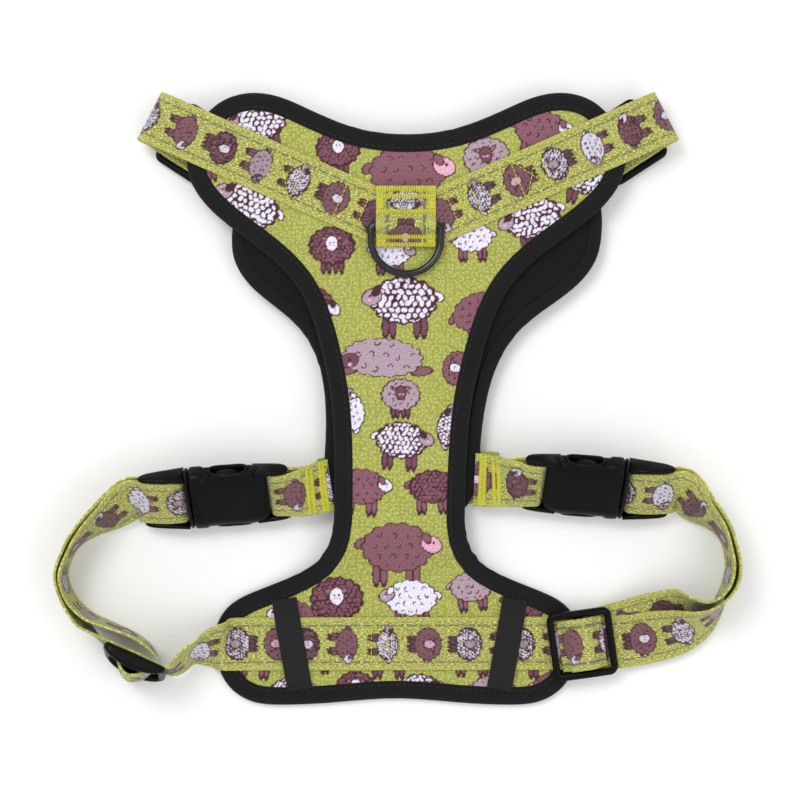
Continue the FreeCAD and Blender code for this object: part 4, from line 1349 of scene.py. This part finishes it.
def sewing():
    """Thread on the straps: neck strap boxes, the girth strap's cross, and rows by the back panel."""
    top = NECK_STRAP_Z + STRAP_THICK / 2 + THREAD_LIFT
    segments = []
    for side in ("left", "right"):
        meet, fold = neck_points(side)
        segments += strip_stitches(meet, fold, top, ((12, 24), (46, 60)), BOX_HALF)
    girth_top = GIRTH_STRAP_Z + STRAP_THICK / 2 + THREAD_LIFT
    segments += strip_stitches((-12.5, -116.4), (20, -116.4), girth_top, ((0, 14),), BOX_HALF)
    stitches("strap_box_stitches", segments, 0.21, THREAD, "printed_webbing")
    for side in ("left", "right"):
        even = resample(back_strap_sections(side), STRAP_STEP)[0]
        rows = []
        for back in (3.0, 5.0, 10.0, 12.0):
            center, across, outward = even[len(even) - 1 - int(back / STRAP_STEP)]
            travel = np.cross(outward, across)
            for v in np.arange(-11.6, 11.7, 0.62):
                middle = center + across * v + outward * (STRAP_THICK / 2 + 0.05)
                rows.append((middle - travel * 1.1, middle + travel * 1.1 + across * 0.2))
        stitches("back_strap_satin_" + side, rows, 0.28, THREAD, "printed_webbing")
    ring_tab("front_tab", FRONT_RING, 1, ("front_ring_tab",), 2)
    ring_tab("back_tab", BACK_RING, -1, ("back_ring_tab",), 5)
    for side in ("left", "right"):
        keeper(side)


# ---------------------------------------------------------------- hardware

def superellipse(half_a, half_b, power, count):
    """Rounded rectangle-like loop as (a, b) pairs."""
    angle = np.linspace(0, 2 * math.pi, count, endpoint=False)
    c, s = np.cos(angle), np.sin(angle)
    radius = (np.abs(c) ** power + np.abs(s) ** power) ** (-1 / power)
    return np.stack([half_a * c * radius, half_b * s * radius], axis=1)


def loft(stations, count=56):
    """Closed skin through rounded sections (along, middle across, half across, half through, squareness)."""
    rings = []
    for u, middle, half_v, half_w, power in stations:
        loop = superellipse(half_v, half_w, power, count)
        rings.append(np.column_stack([np.full(count, u), loop[:, 0] + middle, loop[:, 1]]))
    return tube(rings, False)


def plate_frame(half_x, half_y, rail, thick, corner, crown):
    """Rounded frame around the origin, standing on z = 0, its side rails thicker by a crown in the middle."""
    cx = half_x - rail / 2
    cy = half_y - rail / 2
    radius = corner - rail / 2 + 1.2
    path = []
    for sx, sy, start in ((1, 1, 0), (-1, 1, 90), (-1, -1, 180), (1, -1, 270)):
        for angle in np.linspace(start, start + 90, 7):
            a = math.radians(angle)
            normal = (math.cos(a), math.sin(a))
            path.append((sx * (cx - radius) + radius * normal[0], sy * (cy - radius) + radius * normal[1],
                         *normal))
        if start in (0, 180):
            path += [(sx * share * (cx - radius), sy * cy, 0.0, sy) for share in np.linspace(0.85, -0.85, 13)]
    loop = superellipse(rail / 2, 1.0, 3.2, 20)
    rings = []
    for x, y, nx, ny in path:
        half = (thick + crown * (1 - (x / half_x) ** 2) * ny ** 2) / 2
        rings.append(np.column_stack([x + nx * loop[:, 0], y + ny * loop[:, 0], half * (1 + loop[:, 1])]))
    return tube(rings, True)


def cross_rod(x, half_y, half_x, thick):
    """Rounded bar along y, standing on z = 0."""
    loop = superellipse(half_x, thick / 2, 2.6, 20)
    rings = [np.column_stack([x + loop[:, 0], np.full(20, y), thick / 2 + loop[:, 1]])
             for y in np.linspace(-half_y, half_y, 9)]
    return tube(rings, False)


def clean(made):
    """Consistent outward faces on a finished piece."""
    work = bmesh.new()
    work.from_mesh(made.data)
    bmesh.ops.remove_doubles(work, verts=work.verts, dist=1e-7)
    bmesh.ops.recalc_face_normals(work, faces=work.faces)
    work.to_mesh(made.data)
    work.free()
    made.data.shade_smooth()
    return made


def slider(name, side, center, along, away, bulge, thick, crown=0.0, spread=1.0):
    """Three-bar slider with its short loop of webbing, which stands off its middle bar by a bulge."""
    axes = np.array([along, np.cross(away, along), away])
    origin = center + away * SLIDER_OFFSET
    points, faces = joined([
        plate_frame(SLIDER_LENGTH / 2, SLIDER_WIDTH / 2, SLIDER_RAIL, thick, SLIDER_CORNER, crown),
        cross_rod(0.0, SLIDER_WIDTH / 2 - SLIDER_RAIL + 0.6, SLIDER_BAR / 2, thick)])
    body = name + "_slider_" + side
    made = clean(piece(name + "_slider_body_" + side, origin + points @ axes, faces, PLASTIC,
                       "black_plastic", body))
    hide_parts(body)

    over = thick + 0.15 + STRAP_THICK / 2
    rise = [(10.6, 0.70), (8.0, 1.1), (5.6, over - 0.9 + 0.5 * bulge), (3.0, over + 0.8 * bulge)]
    heights = [(-x, z) for x, z in rise] + [(0, over + bulge)] + rise[::-1]
    sections = single(frames(smooth([(x * spread, 0, z, 180) for x, z in heights], 8), 1)) @ axes
    sections[:, 0] += origin
    strap(name + "_slider_wrap_" + side, sections, body=body, first=1, nodes=(name + "_wrap_" + side,),
          width=STRAP_WIDTH - 0.6)


def sliders():
    """Two sliders on the girth straps and two on the neck straps."""
    along = plan_direction(GIRTH_SLIDER_LEFT_ANGLE)
    lean = math.radians(SLIDER_LEFT_LEAN)
    away = np.cross(along, UP) * math.cos(lean) + UP * math.sin(lean)
    slider("girth", "left", np.array([*GIRTH_SLIDER_LEFT, SLIDER_WIDTH / 2 + 0.3]), along, away, 5.6,
           GIRTH_SLIDER_THICK, 3.8, 1.1)
    slider("girth", "right", np.array([*GIRTH_SLIDER_RIGHT, GIRTH_STRAP_Z]),
           plan_direction(GIRTH_SLIDER_RIGHT_ANGLE), UP, 0.9, GIRTH_SLIDER_THICK, 1.2)
    for side in ("left", "right"):
        fold = neck_points(side)[1]
        center = np.append(fold, UNDER_STRAP_Z) + neck_return(side) * NECK_SLIDER_ALONG[side]
        slider("neck", side, center, neck_return(side), -UP, 0.35, SLIDER_THICK)


def cut_away(made, points, faces):
    """Take a closed skin out of a piece."""
    mesh = bpy.data.meshes.new("cutter")
    mesh.from_pydata((np.asarray(points) * MM).tolist(), [], [list(face) for face in faces])
    cutter = bpy.data.objects.new("cutter", mesh)
    bpy.context.scene.collection.objects.link(cutter)
    clean(cutter)
    modifier = made.modifiers.new("cut", "BOOLEAN")
    modifier.operation = "DIFFERENCE"
    modifier.solver = "EXACT"
    modifier.object = cutter
    bpy.context.view_layer.update()
    result = bpy.data.meshes.new_from_object(made.evaluated_get(bpy.context.evaluated_depsgraph_get()))
    made.modifiers.clear()
    made.data = result
    bpy.data.objects.remove(cutter)


def rail_skin(side_v, start, end, half_start, half_end):
    """Tapered side rail with a rounded end."""
    sign = 1 if start < end else -1
    length = abs(end - start)
    stations = []
    for share, grow in ((0.0, 1.0), (0.55, 1.0), (0.8, 0.92), (0.92, 0.72), (0.98, 0.42), (1.0, 0.1)):
        half_w = (half_start + (half_end - half_start) * share) * grow
        stations.append((start + sign * length * share, side_v * (14.6 - 0.35 * share), 1.45 * max(grow, 0.3),
                         half_w, 2.8))
    return loft(stations, 28)


def round_bar(u):
    """Webbing bar between the rails."""
    angle = np.linspace(0, 2 * math.pi, 20, endpoint=False)
    rings = [np.column_stack([u + BAR_RADIUS * np.cos(angle), np.full(20, v), BAR_RADIUS * np.sin(angle)])
             for v in np.linspace(-14.0, 14.0, 5)]
    return tube(rings, False)


def window_rim(side_v):
    """Raised oval lip around a thumb window, on the shell's rounded edge."""
    loop = superellipse(WINDOW_HALF[0] + 0.5, WINDOW_HALF[1] + 0.45, WINDOW_POWER, 64)
    half_v, half_w = SHELL_HALF
    surface = half_v * (1 - (np.abs(loop[:, 1]) / half_w) ** SHELL_POWER) ** (1 / SHELL_POWER)
    middle = np.column_stack([WINDOW_U + loop[:, 0], side_v * surface, loop[:, 1]])
    outward = unit(np.column_stack([loop[:, 0] / WINDOW_HALF[0] ** 2, np.zeros(64),
                                    loop[:, 1] / WINDOW_HALF[1] ** 2]))
    rings = [[place + normal * 0.75 * math.cos(a) + np.array([0, side_v, 0]) * 0.62 * math.sin(a)
              for a in np.linspace(0, 2 * math.pi, 10, endpoint=False)]
             for place, normal in zip(middle, outward)]
    return tube(rings, True)


# Sections along the buckle: along, middle across, half across, half through, squareness
SHELL = [
    (10.7, 0, 12.6, 1.6, 3.2), (10.9, 0, 14.2, 3.0, 3.2), (12.0, 0, 15.4, 4.4, 3.2),
    (15.0, 0, 16.1, 5.5, 3.3), (20.5, 0, *SHELL_HALF, SHELL_POWER), (39.8, 0, *SHELL_HALF, SHELL_POWER),
    (40.3, 0, 16.6, 6.1, SHELL_POWER), (40.9, 0, 17.0, 6.5, SHELL_POWER), (41.8, 0, 17.2, 6.7, SHELL_POWER),
    (45.4, 0, 17.2, 6.7, SHELL_POWER),
    (46.5, 0, 17.0, 6.5, SHELL_POWER), (47.0, 0, 16.3, 5.8, SHELL_POWER), (46.9, 0, 14.6, 4.7, 3.6),
    (46.0, 0, 14.1, 4.3, 4.0), (44.0, 0, 14.0, 4.2, 4.0), (18.0, 0, 14.0, 4.2, 4.0),
]
FLANGE = [
    (47.35, 0, 15.6, 5.2, 3.4), (47.5, 0, 16.6, 6.2, 3.4), (48.1, 0, 16.9, 6.5, 3.4),
    (48.8, 0, 16.7, 6.2, 3.3), (49.3, 0, 15.9, 5.2, 3.2), (49.5, 0, 14.4, 3.6, 3.0),
]
PLUG = [(44.0, 0, 12.8, 3.2, 4.5), (44.3, 0, 13.4, 3.8, 4.5), (48.0, 0, 13.5, 3.9, 4.5)]
TONGUE = [(24.0, 0, 1.6, 1.2, 3.0), (24.6, 0, 2.6, 2.0, 3.5), (44.5, 0, 2.8, 2.2, 3.5)]
# Sections along a prong: along, inner and outer edge across, half through
PRONG = [
    (21.1, 9.6, 10.8, 1.4), (21.6, 8.6, 12.4, 2.3), (23.0, 8.0, 13.9, 2.8), (26.0, 7.9, 15.2, 3.0),
    (29.0, 7.9, 15.7, 3.0), (32.5, 7.9, 15.4, 3.0), (35.6, 7.9, 14.6, 2.8), (36.6, 8.0, 13.2, 2.4),
    (37.4, 7.8, 10.6, 2.4), (39.0, 7.8, 10.2, 2.5), (43.5, 7.8, 10.2, 2.5), (45.0, 7.4, 10.6, 2.8),
    (46.4, 7.3, 10.7, 2.8), (47.6, 8.2, 9.8, 2.4),
]


def buckle(side):
    """Both halves of one side-release buckle and its two prongs."""

    def moulded(name, parts, body=None):
        points, faces = joined(parts)
        return clean(piece(name + side, buckle_place(side, points), faces, PLASTIC, "black_plastic", body))

    made = moulded("buckle_shell_", [loft(SHELL, 96)])
    hole = superellipse(*WINDOW_HALF, WINDOW_POWER, 48)
    rings = [np.column_stack([WINDOW_U + hole[:, 0], np.full(48, v), hole[:, 1]]) for v in (-25.0, 25.0)]
    points, faces = tube(rings, False)
    cut_away(made, buckle_place(side, points), faces)
    made.data.materials.clear()
    made.data.materials.append(PLASTIC)
    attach(made, "harness")
    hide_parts("buckle_housing_" + side)
    moulded("buckle_frame_", [window_rim(1), window_rim(-1), rail_skin(1, 17.0, 0.6, 4.6, 3.4),
                              rail_skin(-1, 17.0, 0.6, 4.6, 3.4), round_bar(HOUSING_BAR_U)], "harness")
    made = moulded("buckle_plug_", [loft(FLANGE, 64), loft(PLUG, 48), loft(TONGUE, 28),
                                    rail_skin(1, 49.5, 71.0, 5.4, 2.6), rail_skin(-1, 49.5, 71.0, 5.4, 2.6),
                                    round_bar(INSERT_BAR_U)], side + "_insert")
    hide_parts("buckle_insert_" + side)
    for edge, sign in (("upper", 1), ("lower", -1)):
        stations = [(u, sign * (inner + outer) / 2, (outer - inner) / 2, half_w, 3.0)
                    for u, inner, outer, half_w in PRONG]
        points, faces = loft(stations, 32)
        made = clean(piece("buckle_spring_" + side + "_" + edge, buckle_place(side, points), faces, PLASTIC,
                           "black_plastic", side + "_prong_" + edge))
        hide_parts("buckle_prong_" + side + "_" + edge)


def rings():
    """Polished finish on the CAD's own wire rings."""
    for name in ("front_ring", "back_ring"):
        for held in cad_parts[name].material_slots:
            held.material = METAL


stage()
panels()
straps()
sewing()
sliders()
for buckle_side in ("left", "right"):
    buckle(buckle_side)
rings()
